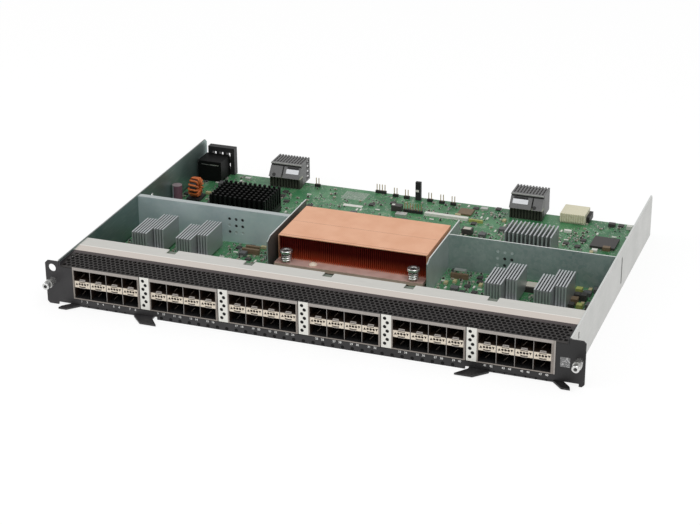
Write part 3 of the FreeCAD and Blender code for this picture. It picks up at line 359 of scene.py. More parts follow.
# Painted shade: the coat darkens towards the right end of the panel.
powder.coat(
    base_color=powder.mix(
        powder.mm("X").step(-150, 230) * 0.75,
        powder.mix(dust * 0.5 + peel * 0.2, (0.022, 0.021, 0.023), (0.050, 0.047, 0.048)), (0.004, 0.004, 0.004),
    ),
    roughness=peel * 0.2 + 0.38, normal=powder.bump(peel, 0.35, 0.04),
)
dress(powder, "faceplate", "left_lever", "right_lever")

# ------------------------------------------------------------------ vent mesh
# The sloping vent is one strip of thin steel, punched with six staggered rows of 3.2 mm holes and painted black.
# It is hemmed at the back under the bracket, and a small cheek closes each end.


class Shape:
    """A mesh drawn in millimetres from blocks, turned forms, pierced plates and wires."""

    def __init__(self):
        self.bm = bmesh.new()

    def block(self, x, y, z):
        """A box between two values on each axis."""
        middle = Vector([(a + b) / 2 for a, b in (x, y, z)])
        size = [abs(b - a) for a, b in (x, y, z)]
        bmesh.ops.create_cube(self.bm, matrix=Matrix.Translation(middle) @ Matrix.Diagonal((*size, 1)))
        return self

    def turned(self, profile, sides, at=(0, 0, 0), tilt=None):
        """Turns a profile of (radius, height) points about Z, then tilts it and moves it to a place."""
        spin = [math.tau * (k + 0.5) / sides for k in range(sides)]
        rings, made = [], []
        for radius, height in profile:
            angles = spin if radius > 0 else [0]
            rings.append([self.bm.verts.new((radius * math.cos(a), radius * math.sin(a), height)) for a in angles])
            made += rings[-1]
        faces = []
        for low, high in zip(rings, rings[1:]):
            if len(low) == 1 and len(high) == 1:
                continue
            for k in range(sides):
                after = (k + 1) % sides
                if len(low) == 1:
                    corners = [low[0], high[after], high[k]]
                elif len(high) == 1:
                    corners = [low[k], low[after], high[0]]
                else:
                    corners = [low[k], low[after], high[after], high[k]]
                faces.append(self.bm.faces.new(corners))
        bmesh.ops.recalc_face_normals(self.bm, faces=faces)
        turn = Matrix.Translation(Vector(at)) @ (tilt or Matrix.Identity(4))
        bmesh.ops.transform(self.bm, matrix=turn, verts=made)
        return self

    def disc(self, radius, thick, sides, at=(0, 0, 0), tilt=None):
        return self.turned([(0, 0), (radius, 0), (radius, thick), (0, thick)], sides, at, tilt)

    def plate(self, outline, holes, thick, open_edge=False):
        """A flat plate in the XZ plane, from y = 0 back to its thickness, with holes punched through it."""
        loops = [outline, *holes]
        edges = []
        for loop in loops:
            ring = [self.bm.verts.new((x, 0, z)) for x, z in loop]
            edges += [self.bm.edges.new((a, b)) for a, b in zip(ring, ring[1:] + ring[:1])]
        rim = set(edges[:len(outline)])
        filled = bmesh.ops.triangle_fill(self.bm, use_beauty=True, use_dissolve=False, edges=edges)
        faces = [f for f in filled["geom"] if isinstance(f, bmesh.types.BMFace)]
        grown = bmesh.ops.extrude_face_region(self.bm, geom=faces, use_keep_orig=True)
        back = [v for v in grown["geom"] if isinstance(v, bmesh.types.BMVert)]
        bmesh.ops.translate(self.bm, vec=(0, thick, 0), verts=back)
        every = set(faces) | {f for v in back for f in v.link_faces}
        bmesh.ops.recalc_face_normals(self.bm, faces=list(every))
        if open_edge:
            walls = [f for f in every if f not in faces and rim & set(f.edges)]
            bmesh.ops.delete(self.bm, geom=walls, context="FACES_ONLY")
        return self

    def laid(self, matrix):
        """Moves or turns everything drawn so far, in millimetres."""
        bmesh.ops.transform(self.bm, matrix=matrix, verts=self.bm.verts)
        return self

    def mesh(self, at=None):
        """The finished mesh, in metres."""
        made = bpy.data.meshes.new("drawn")
        self.bm.to_mesh(made)
        made.transform((at or Matrix.Identity(4)) @ Matrix.Diagonal((MM, MM, MM, 1)))
        return made


def rectangle(x, z):
    return [(x[0], z[0]), (x[1], z[0]), (x[1], z[1]), (x[0], z[1])]


def circle(x, z, radius, sides):
    turns = [math.tau * (k + 0.5) / sides for k in range(sides)]
    return [(x + radius * math.cos(a), z + radius * math.sin(a)) for a in turns]


def new_tree(name, **inputs):
    """A geometry tree with these inputs, and the sockets that they give."""
    tree = bpy.data.node_groups.new(name, "GeometryNodeTree")
    for key, kind in inputs.items():
        label = key.replace("_", " ").title()
        tree.interface.new_socket(name=label, in_out="INPUT", socket_type="NodeSocket" + kind)
    tree.interface.new_socket(name="Geometry", in_out="OUTPUT", socket_type="NodeSocketGeometry")
    return tree, tree.nodes.new("NodeGroupInput").outputs


def stamped(tree, given, merge=False, **inputs):
    """Ends a tree: sets its stamp on points, makes the copies real and gives them their finish."""
    inputs["Instance"] = wire_node(tree, "GeometryNodeObjectInfo", None, {0: given["Stamp"]}, "Geometry")
    real = wire_node(tree, "GeometryNodeInstanceOnPoints", None, inputs)
    real = wire_node(tree, "GeometryNodeRealizeInstances", None, {0: real})
    if merge:
        real = wire_node(tree, "GeometryNodeMergeByDistance", None, {0: real, "Distance": 1e-6})
    painted = wire_node(tree, "GeometryNodeSetMaterial", None, {0: real, "Material": given["Finish"]})
    tree.links.new(painted, tree.nodes.new("NodeGroupOutput").inputs[0])
    return tree


def rows_tree():
    """Sets a stamp out in rows: Across copies a Step apart, in Rows that are a Row Step apart."""
    tree, given = new_tree(
        "rows", stamp="Object", across="Int", step="Vector", rows="Int", row_step="Vector", stagger="Float",
        finish="Material",
    )

    def maths(operation, a, b):
        return wire_node(tree, "ShaderNodeMath", {"operation": operation}, {0: a, 1: b})

    def scaled(vector, share):
        return wire_node(tree, "ShaderNodeVectorMath", {"operation": "SCALE"}, {0: vector, "Scale": share})

    index = tree.nodes.new("GeometryNodeInputIndex").outputs[0]
    row = maths("FLOOR", maths("DIVIDE", maths("ADD", index, 0.5), given["Across"]), 0)
    column = maths("SUBTRACT", index, maths("MULTIPLY", row, given["Across"]))
    shift = maths("MULTIPLY", maths("MODULO", row, 2), given["Stagger"])
    count = maths("MULTIPLY", given["Across"], given["Rows"])
    place = wire_node(tree, "ShaderNodeVectorMath", {"operation": "ADD"}, {
        0: scaled(given["Step"], maths("ADD", column, shift)), 1: scaled(given["Row Step"], row),
    })
    points = wire_node(tree, "GeometryNodePoints", None, {"Count": count, "Position": place})
    return stamped(tree, given, merge=True, Points=points)


def taken_from(holder, *helpers):
    """The plain mesh that an object makes. The object and its helpers go."""
    made = bpy.data.meshes.new_from_object(holder.evaluated_get(bpy.context.evaluated_depsgraph_get()))
    for spare in (holder, *helpers):
        bpy.data.objects.remove(spare)
    return made


def grown(tree, base, stamp, finish, **sizes):
    """Runs a tree on a base mesh with a stamp and returns the plain mesh that it makes."""
    holder, block = placed("holder", base), placed("stamp", stamp)
    modifier = holder.modifiers.new("set_out", "NODES")
    modifier.node_group = tree
    values = {"Stamp": block, "Finish": finish.material}
    values.update({key.replace("_", " ").title(): value for key, value in sizes.items()})
    for item in tree.interface.items_tree:
        if item.in_out == "INPUT" and item.name in values:
            modifier[item.identifier] = values[item.name]
    return taken_from(holder, block)


ROWS = rows_tree()


def in_rows(shape, finish, across, step, rows=1, row_step=(0, 0, 0), stagger=0.0, at=None):
    """Copies of a shape in rows, with steps in millimetres."""
    made = grown(
        ROWS, bpy.data.meshes.new("empty"), shape.mesh(), finish, across=across, rows=rows,
        step=[v * MM for v in step], row_step=[v * MM for v in row_step], stagger=stagger,
    )
    if at:
        made.transform(at)
    return made, finish


def moved(x=0.0, y=0.0, z=0.0):
    return Matrix.Translation((x * MM, y * MM, z * MM))


def gather(name, parts, body="card", stands_for=()):
    """Joins (mesh or shape, finish) parts into one piece that rides on its body."""
    bm = bmesh.new()
    finishes = []
    for mesh, finish in parts:
        mesh = mesh.mesh() if isinstance(mesh, Shape) else mesh
        if finish not in finishes:
            finishes.append(finish)
        mesh.polygons.foreach_set("material_index", [finishes.index(finish)] * len(mesh.polygons))
        bm.from_mesh(mesh)
        bpy.data.meshes.remove(mesh)
    whole = bpy.data.meshes.new(name)
    bm.to_mesh(whole)
    for finish in finishes:
        whole.materials.append(finish.material)
    whole.polygons.foreach_set("use_smooth", [True] * len(whole.polygons))
    whole.set_sharp_from_angle(angle=math.radians(32))
    piece = placed(name, whole)
    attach(piece, body)
    if stands_for:
        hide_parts(*stands_for)
    return piece


vent_paint = Finish("black_vent_paint")
matt = vent_paint.grain(0.4, 2)
# Painted highlight: the hem at the back is a lighter brown, as the light on its fold.
hem_highlight = vent_paint.mm("Y").step(-124.5, -123.5)
vent_paint.coat(
    base_color=vent_paint.mix(hem_highlight, (0.030, 0.026, 0.025), (0.062, 0.048, 0.048)), roughness=matt * 0.2 + 0.42,
    normal=vent_paint.bump(matt, 0.3, 0.03),
)
panel_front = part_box("faceplate")[0].y / MM
vent_low, vent_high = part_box("vent_grille")
hole_pitch, hole_radius, vent_rows = 4.0, 1.62, 6
row_pitch = hole_pitch * math.sqrt(0.75)
vent_half, vent_sheet = vent_high.x / MM, 0.8
lip_rise = vent_low.z / MM + 1.0
rise, run = vent_high.z / MM - lip_rise, (vent_high.y - vent_low.y) / MM
slope = math.hypot(rise, run)
vent_frame = Matrix((
    (1, 0, 0, 0),
    (0, rise / slope, run / slope, panel_front * MM),
    (0, -run / slope, rise / slope, lip_rise * MM),
    (0, 0, 0, 1),
))
first_margin = 1.6
across_even = int(2 * vent_half / hole_pitch)
holed_half = hole_pitch * across_even / 2

cell = Shape().plate(
    [(-2, 0), (0, 0), (2, 0), (2, row_pitch), (0, row_pitch), (-2, row_pitch)],
    [circle(0, row_pitch / 2, hole_radius, 12)], vent_sheet, open_edge=True,
)
vent_parts = []
for row_start, across in ((0, across_even), (1, across_even - 1)):
    start = moved(-hole_pitch * (across - 1) / 2, 0, first_margin + row_start * row_pitch)
    vent_parts.append(in_rows(
        cell, vent_paint, across, (hole_pitch, 0, 0), vent_rows // 2, (0, 0, 2 * row_pitch), at=vent_frame @ start,
    ))
border = Shape()
top_of_holes = first_margin + vent_rows * row_pitch
for span in ((0, first_margin), (top_of_holes, slope)):
    border.block((-vent_half, vent_half), (0, vent_sheet), span)
for end in (-1, 1):
    border.block(sorted((end * holed_half, end * vent_half)), (0, vent_sheet), (first_margin, top_of_holes))
    for k in range(vent_rows // 2):
        z = first_margin + (2 * k + 1) * row_pitch
        gap = sorted((end * holed_half, end * (holed_half - hole_pitch / 2)))
        border.block(gap, (0, vent_sheet), (z, z + row_pitch))
vent_parts.append((border.mesh(vent_frame), vent_paint))
cheeks = Shape()
back = vent_high.y / MM
for end in (-1, 1):
    x = sorted((end * vent_half, end * (vent_half - 1)))
    corners = ((panel_front, lip_rise - 1), (panel_front, vent_high.z / MM), (back, vent_high.z / MM))
    rings = [[cheeks.bm.verts.new((v, y, z)) for y, z in corners] for v in x]
    faces = [cheeks.bm.faces.new(rings[0]), cheeks.bm.faces.new(reversed(rings[1]))]
    for k in range(3):
        m = (k + 1) % 3
        faces.append(cheeks.bm.faces.new((rings[0][m], rings[0][k], rings[1][k], rings[1][m])))
    bmesh.ops.recalc_face_normals(cheeks.bm, faces=faces)
vent_parts.append((cheeks, powder))
gather("vent_mesh", vent_parts, stands_for=["vent_grille"])

# ------------------------------------------------------------------ port cages
# Six stacked cages of thin plated spring steel stand behind the panel, each with two rows of four ports.
# A plated bar between the rows has pierced light holes, a slot and a latch spring for each pair of ports.

# Painted shade: behind the plated front edges the cage steel is near black, as the shade inside the ports, with
# faint painted glints in streaks. The bar cores and the spring fingers take the same finish.
cage_painted_shade = Finish("cage_interior_shade")
shade_share = cage_painted_shade.mm("Y").step(-146.45, -145.7)
glint_streak = cage_painted_shade.grain(2.0, 4, (1, 0.2, 1)).step(0.55, 0.8)
cage_painted_shade.coat(
    base_color=cage_painted_shade.mix(
        shade_share, (0.42, 0.40, 0.38), cage_painted_shade.mix(glint_streak * 0.5, (0.022, 0.012, 0.007), (0.08, 0.045, 0.028)),
    ),
    metallic=shade_share * -0.8 + 0.8, roughness=glint_streak * -0.2 + 0.55,
)
jet = two_tone("jet_moulding", 1.0, 3, (0.001, 0.001, 0.001), (0.004, 0.004, 0.004), 0.45, specular_ior_level=0.2)
black_plastic = two_tone(
    "black_moulding", 0.6, 3, (0.010, 0.010, 0.011), (0.024, 0.023, 0.024), 0.42, bump=(0.2, 0.03),
)
dress(cage_painted_shade, "cage_shells", "cage_dividers")
dress(black_plastic, "cage_bases", "host_connectors")

bar_cream = two_tone(
    "bar_plating", 1.1, 4, (0.70, 0.60, 0.47), (0.92, 0.84, 0.72), 0.3, metallic=0.35, ramp=(0.3, 0.7),
)
port_pitch, cage_pitch, columns, cages = 14.25, 67.36, 4, 6
bar_low, bar_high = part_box("port_separators")
bar_bottom, bar_top, bar_face, bar_half = bar_low.z / MM, bar_high.z / MM, bar_low.y / MM, 6.75
middle = (bar_bottom + bar_top) / 2


def arrow(x, z, size, up):
    return [(x - size, z - up * size), (x + size, z - up * size), (x, z + up * size)]


def arc_slot(x, z, half, sag, width, steps=6):
    """A thin slot that sags in the middle, like a smile."""
    top, low = [], []
    for k in range(steps + 1):
        t = 2 * k / steps - 1
        drop = sag * (1 - t * t)
        top.append((x + half * t, z - drop + width / 2))
        low.append((x + half * t, z - drop - width / 2))
    return top + low[::-1]


# A rail tops each cage mouth, thin posts stand at its ends and the right one is a double post. The rail, the last
# post and the bar springs take a lit copy of the plating; the posts, the bottom rail and the double post's groove
# take a shaded copy.
lit_plating = two_tone("plating_lit", 1.2, 4, (0.36, 0.33, 0.30), (0.48, 0.44, 0.41), 0.35, metallic=0.2)
shaded_plating = two_tone("plating_shaded", 1.2, 4, (0.24, 0.21, 0.19), (0.40, 0.36, 0.32), 0.35, metallic=0.3)
frame_low, frame_high = box_mm("cage_frames")
mouth_low, mouth_high, mouth_half, frame_half = 8.2, 32.4, 28.3, 29.3
frame_y = (0, frame_high.y - frame_low.y)
rails = Shape().block((-frame_half, frame_half), frame_y, (mouth_high + 0.2, frame_high.z + 1.2))
posts = Shape().block((-frame_half, frame_half), frame_y, (frame_low.z, mouth_low))
posts.block((-frame_half, -mouth_half), frame_y, (mouth_low, mouth_high + 0.2))
posts.block((mouth_half - 0.4, mouth_half + 0.2), frame_y, (mouth_low, mouth_high + 0.2))
posts.block((mouth_half + 0.6, frame_half + 0.15), frame_y, (mouth_low, mouth_high + 0.2))
posts.block((mouth_half + 0.2, mouth_half + 0.6), (0.25, frame_y[1]), (mouth_low, mouth_high + 0.2))
first_cage = -cage_pitch * (cages - 1) / 2
last_post = Shape().block((frame_half + 0.6, frame_half + 1.7), frame_y, (frame_low.z, frame_high.z + 1.2))
rail_end = Shape().block((frame_half, frame_half + 0.6), (0.25, frame_y[1]), (frame_low.z, frame_high.z + 1.2))
last_cage = moved(-first_cage, frame_low.y)
gather("mouth_rails", [(last_post.mesh(last_cage), lit_plating), (rail_end.mesh(last_cage), shaded_plating)] + [
    in_rows(shape, finish, cages, (cage_pitch, 0, 0), at=moved(first_cage, frame_low.y))
    for shape, finish in ((rails, lit_plating), (posts, shaded_plating))
], stands_for=["cage_frames"])

band_low, band_high = middle - 2.75, middle + 2.85
hole_z = middle + 0.35
bar = Shape().plate(
    rectangle((-bar_half, bar_half), (band_low, band_high)),
    [
        arrow(-4.8, hole_z, 1.15, 1), arrow(4.8, hole_z, 1.15, -1), circle(0, hole_z, 1.1, 10),
        circle(-2.4, hole_z, 1.05, 8), circle(2.4, hole_z, 1.05, 8),
        arc_slot(0, band_low + 1.0, 2.9, 0.35, 0.95), rectangle((-2.9, 2.9), (band_high - 0.95, band_high - 0.3)),
    ], 0.35,
)
spring = Shape().plate([(-2.6, 0), (2.6, 0), (2.3, 1.9), (-2.3, 1.9)], [rectangle((-1.9, 1.9), (0.75, 1.15))], 0.25)
spring.laid(Matrix.Translation((0, 0, band_high - 0.1)) @ tilted(-38))
lip = Shape().plate([(-2.7, 0), (2.7, 0), (2.2, 0.9), (-2.2, 0.9)], [], 0.25)
lip.laid(Matrix.Translation((0, 0, band_low + 0.2)) @ tilted(-140))
core = Shape().block((-bar_half, bar_half), (0.8, 38.6), (bar_bottom, bar_top))
core.block((-bar_half, bar_half), (0.35, 0.8), (band_low, band_low + 0.4))
core.block((-bar_half, bar_half), (0.35, 0.8), (band_high - 0.3, band_high))
first_port = first_cage - port_pitch * (columns - 1) / 2


def per_port(shape, finish, back=0.0, up=0.0):
    """One copy of a shape for each column of ports, this far behind the bars' face."""
    place = moved(first_port, bar_face + back, up)
    return in_rows(shape, finish, columns, (port_pitch, 0, 0), cages, (cage_pitch, 0, 0), at=place)


bars = ((bar, bar_cream), (spring, lit_plating), (lip, lit_plating), (core, cage_painted_shade))
gather("port_bars", [per_port(*each) for each in bars], stands_for=["port_separators"])

# A slanting latch arm and spring fingers show just inside each mouth, both painted near black as the shade there.
latch = two_tone("latch_steel", 1.0, 3, (0.035, 0.024, 0.016), (0.08, 0.055, 0.04), 0.4)
finger_parts = []
for z in (12.6, 27.6):
    arm = Shape().block((-2.4, 2.4), (-0.15, 0.15), (-0.12, 0.12)).laid(tilted(-48, "Y"))
    finger_parts.append(per_port(arm, latch, 2.2, z))
for z in (32.2, 16.8):
    fingers = Shape()
    for x in (-3.6, 0, 3.6):
        fingers.plate([(x - 0.9, 0), (x + 0.9, 0), (x + 0.5, 2.6), (x - 0.5, 2.6)], [], 0.15)
    finger_parts.append(per_port(fingers.laid(tilted(-110)), cage_painted_shade, 1.2, z))
gather("earthing_fingers", finger_parts)

# ------------------------------------------------------------------ strips between the cages
# A plain steel strip fills the panel's window between two cages, with seven holes in a zigzag.

strip_steel = two_tone("strip_steel", 0.8, 4, (0.88, 0.87, 0.80), (0.96, 0.95, 0.90), 0.4, stretch=(1, 1, 0.15))
strip_low, strip_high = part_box("perforated_strips")
strip_half, strip_foot, strip_head, strip_face = 4.0, 7.5, 35.2, frame_low.y + 0.1
hole_middle, hole_rise, hole_shift = 21.6, 3.53, 1.05
strip_holes = [
    circle(hole_shift * (-1, 1)[k % 2] - 0.2, hole_middle - hole_rise * (k - 3), 1.45, 20) for k in range(7)
]
strip = Shape().plate(rectangle((-strip_half, strip_half), (strip_foot, strip_head)), strip_holes, 0.3)
# Painted shade: a black block behind each strip stands for the shade seen through its holes.
strip_shade_backing = Shape().block((-4.1, 4.1), (1.4, 2.4), (strip_low.z / MM, strip_high.z / MM))
gather("zigzag_strips", [
    in_rows(shape, finish, cages - 1, (cage_pitch, 0, 0), at=moved(0.4 - 2 * cage_pitch, strip_face))
    for shape, finish in ((strip, strip_steel), (strip_shade_backing, black_plastic))
], stands_for=["perforated_strips"])

# ------------------------------------------------------------------ behind the openings
# Dark plates paint the shade and pale plates the light seen through the wall slot, the bracket's notches and the
# baffles' round holes.

tray_right = box_mm("tray")[1].x
# Painted shade: a black strip inside the slot in the tray's right wall.
slot_y, slot_z = (25.5, 28.7), (6.5, 29.3)
slot_shade_plate = Shape().block((tray_right - 0.55, tray_right - 0.15), slot_y, slot_z)
# Painted shade: a black plate under the vent hides the board seen through it between the cages.
vent_shade_half, vent_shade_y, vent_shade_z = 208.8, (-144.4, -122.6), (33.0, 33.3)
vent_shade = Shape().block((-vent_shade_half, vent_shade_half), vent_shade_y, vent_shade_z)
gather("vent_shield", [(vent_shade, black_plastic)])
gather("slot_shadow", [(slot_shade_plate, black_plastic)])
# Painted shade: grey-green pads under the bracket's notches stand for the shaded tab seen through them.
pad_green = two_tone("notch_pads", 1.5, 4, (0.09, 0.11, 0.09), (0.24, 0.27, 0.22), 0.4)
bracket_high = box_mm("top_bracket")[1]
first_notch, below_flange = 3.3 - 2 * cage_pitch, 1.6
notch_pad = Shape().block((-4.4, 4.4), (-8, 0), (-0.3, 0))
notch_place = moved(first_notch, bracket_high.y, bracket_high.z - below_flange)
notch_pads = in_rows(notch_pad, pad_green, cages - 1, (cage_pitch, 0, 0), at=notch_place)
gather("notch_pads", [notch_pads])
# Black discs paint the shade and pale discs the light seen through the baffles' round holes.
pale_plate = two_tone("painted_light_discs", 1.5, 3, (0.36, 0.44, 0.42), (0.55, 0.62, 0.60), 0.4)
shaded_holes, lit_holes = Shape(), Shape()
shaded_places = {-1: ((-1, 1), (0, 1), (1, 1), (0, 0), (1, 0), (-1, -1)), 1: ((0, 0), (1, 0), (0, -1))}
grid_x, grid_z, grid_pitch = 117.6, 22.6, 6.0
for side, y in ((-1, -0.35), (1, 8.55)):
    for i in (-1, 0, 1):
        for k in (-1, 0, 1):
            backs = shaded_holes if (i, k) in shaded_places[side] else lit_holes
            x, z = side * grid_x + i * grid_pitch, grid_z + k * grid_pitch
            backs.disc(1.44, 0.25, 16, (x, y, z), tilted(90))
gather("baffle_backs", [(shaded_holes, black_plastic), (lit_holes, pale_plate)])

# ------------------------------------------------------------------ panel foot
# A black strip behind the panel and dark discs on its front paint the shade in the small holes along the panel's
# foot.
# Dark discs carry their row on along each lever, painted as the shade in dimples.

hole_step, foot_holes, first_dimple = 8.05, 31, 152.95
foot_shade_x, foot_shade_y, foot_shade_z = (-124.2, 129.8), (-145.1, -144.8), (0.1, 2.35)
foot_shade_strip = Shape().block(foot_shade_x, foot_shade_y, foot_shade_z)
hole_shade_discs = Shape()
for k in range(foot_holes):
    hole_shade_discs.disc(1.45, 0.04, 14, (hole_step * (k - foot_holes // 2), panel_front, 1.9), tilted(90))
gather("foot_gasket", [(foot_shade_strip, black_plastic), (hole_shade_discs, jet)])
for side, body in ((-1, "left_lever"), (1, "right_lever")):
    dimple_shade_discs = Shape()
    for k in range(6):
        x = side * (first_dimple + hole_step * k)
        dimple_shade_discs.disc(0.85, 0.05, 12, (x, panel_front + 0.1, 1.35), tilted(90))
    gather(f"{body}_dimples", [(dimple_shade_discs, jet)], body)

# ------------------------------------------------------------------ main board
# One green glass-fibre board with tracks, filled areas, vias and tinned pads under a glossy solder mask.
# Its packages are black mouldings soldered flat on it.

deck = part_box("main_board")[1].z / MM

mask = Finish("solder_mask")
fill = mask.patches(9)
tracks = (fill > 0.4) * (mask.bands("X", 220.0) > 0.62) + (fill < 0.22) * (mask.bands("Y", 220.0) > 0.62)
vias = mask.cells(2.3, "EUCLIDEAN").step(0.17, 0.13)
pads = mask.cells(3.7).step(0.16, 0.14) * (mask.grain(14).step(0.48, 0.55))
marks = mask.cells(5.9, "MANHATTAN")
marks = (marks > 0.52) * (marks < 0.57) * (mask.grain(11, 2).step(0.5, 0.56))
tin = vias.sum("MAXIMUM", vias * 0.6, pads)
green = mask.over(
    (0.030, 0.150, 0.060), (mask.grain(25).step(0.3, 0.7), (0.055, 0.215, 0.090)),
    ((fill > 0.62) * 0.55, (0.085, 0.270, 0.120)), (tracks * 0.30, (0.16, 0.36, 0.17)),
    (tin, (0.56, 0.56, 0.44)), (marks * 0.7, (0.70, 0.74, 0.66)),
)
mask.coat(
    base_color=green, metallic=tin * 0.5, roughness=tin * -0.1 + 0.34,
    normal=mask.bump(tracks + tin, 0.25, 0.05),
)
dress(mask, "main_board")

package = two_tone("package_moulding", 0.7, 3, (0.030, 0.027, 0.026), (0.070, 0.062, 0.060), 0.35, bump=(0.2, 0.02))
dress(package, "switch_chip", "port_chips", "fabric_chip", "control_chip", "relays")

solder = two_tone("tinned_ends", 0.6, 3, (0.50, 0.50, 0.48), (0.80, 0.80, 0.77), 0.25, metallic=0.7)

# ------------------------------------------------------------------ small parts on the board
# Reflow-soldered resistors, capacitors, coils and small packages crowd round the drivers and the power section.
# They are set out at random where the board is free, square to its edges.


def scatter_tree():
    """Sets a stamp on every point of a mesh, turned about Z by the point's turn attribute."""
    tree, given = new_tree("scatter", geometry="Geometry", stamp="Object", finish="Material")
    points = wire_node(tree, "GeometryNodeMeshToPoints", None, {0: given["Geometry"]})
    turn = wire_node(tree, "GeometryNodeInputNamedAttribute", {"data_type": "FLOAT"}, {0: "turn"})
    angle = wire_node(tree, "ShaderNodeCombineXYZ", None, {2: turn})
    return stamped(tree, given, Points=points, Rotation=angle)


SCATTER = scatter_tree()
taken = []


def keep_clear(x, y, half_width, half_depth):
    """Keeps this place on the board free of further parts."""
    taken.append((x - half_width, x + half_width, y - half_depth, y + half_depth))


for name in nodes:
    a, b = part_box(name)
    wide = name in ("header_bases", "header_pins", "relays") or "sink_" in name or b.x - a.x > 0.15
    if b.z / MM > deck + 0.2 and a.z / MM < deck + 3 and not wide:
        taken.append((a.x / MM, b.x / MM, a.y / MM, b.y / MM))
for x in (-177.6, -137.2, 130.2, 170.4):  # the port sinks, their pins and their gaps
    keep_clear(x, -34, 13, 23)
for xs, ys, half in (((-55.2, 55.2), (-42.1, 35.9), 6), ((-198, 198), (-62.6, 115.4), 5)):
    for x in xs:  # the copper sink's screws, then the board's screws
        for y in ys:
            keep_clear(x, y, half, half)
# The switch chip, the cages, the right signal connector and a clear patch, then the headers and the relays.
taken += [(-24, 24, -27, 21), (-210, 210, -145, -94), (95, 125, 122, 150), (-18, 0, 98, 106)]
for x, y, half in (
    (-97.1, 141, 2.6), (-36.8, 144.9, 5.1), (-21.6, 141.3, 2.6), (-10.7, 140.4, 2.6), (11.4, 140.5, 2.6),
    (22.9, 139.7, 2.6), (33.7, 139.1, 2.6), (4.9, 110.9, 9),
):
    keep_clear(x, y, half, 1.4)
for x, y in ((-10.3, 111.8), (63.9, 81.9)):
    keep_clear(x, y, 4.6, 3.3)
# Single parts that stand out from the crowd, by finish: x span, y span, top.
singles = {
    "white": [
        (-60, -42, 106.2, 110.8, 7.3), (191.8, 196.8, 135.6, 139.4, 10), (173.8, 178.6, 79.2, 83.2, 9),
        (-14.9, -12.2, 110.4, 113.2, 12.3), (142, 148.4, 112, 115.2, 9),
    ],
    "lime": [
        (57.5, 70, 107.4, 109.6, 9.4), (181.4, 186.6, -8.6, -3.4, 13), (188.2, 192.8, -35, -30, 11.6),
    ],
    "brown": [
        (43.2, 55.8, 119.6, 132.4, 8.6), (182.2, 188.6, 84.2, 88.6, 10.4), (-105, -89.5, -19.8, -17.2, 11.6),
        (-104, -91.5, -13.4, -10.8, 11.6), (76.7, 91.6, -9.8, -7.2, 11.6), (181.8, 187.4, -27.4, -21, 12.4),
        (118.6, 124, 50, 55.4, 11.6), (-52, -45.2, 60.2, 66, 10),
    ],
    "tin": [
        (59.8, 66.2, 135.6, 140.4, 8.8), (-166.4, -161, 133.2, 137, 9.5), (-8, 2, 98.6, 104.8, 9.2),
        (-148, -141.4, 98, 103, 9.4), (36, 41.6, 84, 88.4, 9.4),
    ],
    "dark": [
        (175.6, 181.4, 136.2, 140.6, 10), (139.6, 151.7, -16, -4, 11.6), (187.6, 192.6, -18.6, -12, 12.6),
        (181.6, 186.4, -37, -31.4, 12.2), (182, 187, -17.2, -11.4, 12), (129.6, 136.8, 96.4, 101.2, 10.2),
        (-128, -121, 88.6, 94.6, 10.6), (24, 31.6, 62, 69.6, 9), (76.4, 84.6, 52, 60, 9),
    ],
    "pale": [
        (141, 150.3, -14.6, -5.4, 12), (60.6, 67.2, 79.4, 84.4, 12.4), (-95, -88.6, 78, 83.8, 9.2),
    ],
}
taken += [place[:4] for places in singles.values() for place in places]
taken.append((-68.5, -45.5, 121.5, 140.5))  # the bare pad field
ceramic = Finish("ceramic_bodies")
pick = ceramic.grain(6, 1).step(0.42, 0.58)
ceramic.coat(base_color=ceramic.mix(pick, (0.05, 0.045, 0.04), (0.36, 0.33, 0.24)), roughness=pick * -0.1 + 0.5)
coil_grey = two_tone("coil_ferrite", 1.5, 4, (0.06, 0.06, 0.065), (0.16, 0.16, 0.16), 0.4)
amber = two_tone("amber_moulding", 2, 3, (0.38, 0.33, 0.16), (0.56, 0.50, 0.30), 0.35)
white_plastic = two_tone("white_moulding", 2, 3, (0.66, 0.66, 0.60), (0.84, 0.84, 0.78), 0.4)


def ends(inner, outer, half, top):
    """Tinned ends at both sides of a chip part."""
    return solder, [(span, (-half, half), (0, top)) for span in ((-outer, -inner), (inner, outer))]


# Each kind: half width, half depth, [(finish, blocks)].
kinds = {
    "chip_resistors": (1.3, 0.8, [
        (package, [((-0.7, 0.7), (-0.6, 0.6), (0, 0.5))]),
        ends(0.7, 1.0, 0.6, 0.55),
    ]),
    "chip_capacitors": (1.6, 1.1, [
        (ceramic, [((-0.9, 0.9), (-0.8, 0.8), (0, 1.3))]),
        ends(0.9, 1.4, 0.85, 1.35),
    ]),
    "small_packages": (3.4, 2.8, [
        (package, [((-2.2, 2.2), (-2.4, 2.4), (0.2, 1.5))]),
        (solder, [
            (lead, (y - 0.2, y + 0.2), (0, 0.7))
            for lead in ((-3.1, -2.2), (2.2, 3.1)) for y in (-1.8, -0.6, 0.6, 1.8)
        ]),
    ]),
    "power_coils": (3.6, 3.6, [
        (coil_grey, [((-3, 3), (-3, 3), (0.2, 3.4))]),
        ends(3, 3.3, 1.2, 1.4),
    ]),
    "amber_capacitors": (3.2, 1.9, [
        (amber, [((-2.4, 2.4), (-1.4, 1.4), (0.2, 2.4))]),
        ends(2.4, 2.8, 1.0, 1.2),
    ]),
    "array_packs": (2.4, 1.4, [
        (white_plastic, [((-2.0, 2.0), (-0.7, 0.7), (0, 0.7))]),
        (solder, [((x - 0.25, x + 0.25), (-1.1, 1.1), (0, 0.35)) for x in (-1.5, -0.5, 0.5, 1.5)]),
    ]),
}
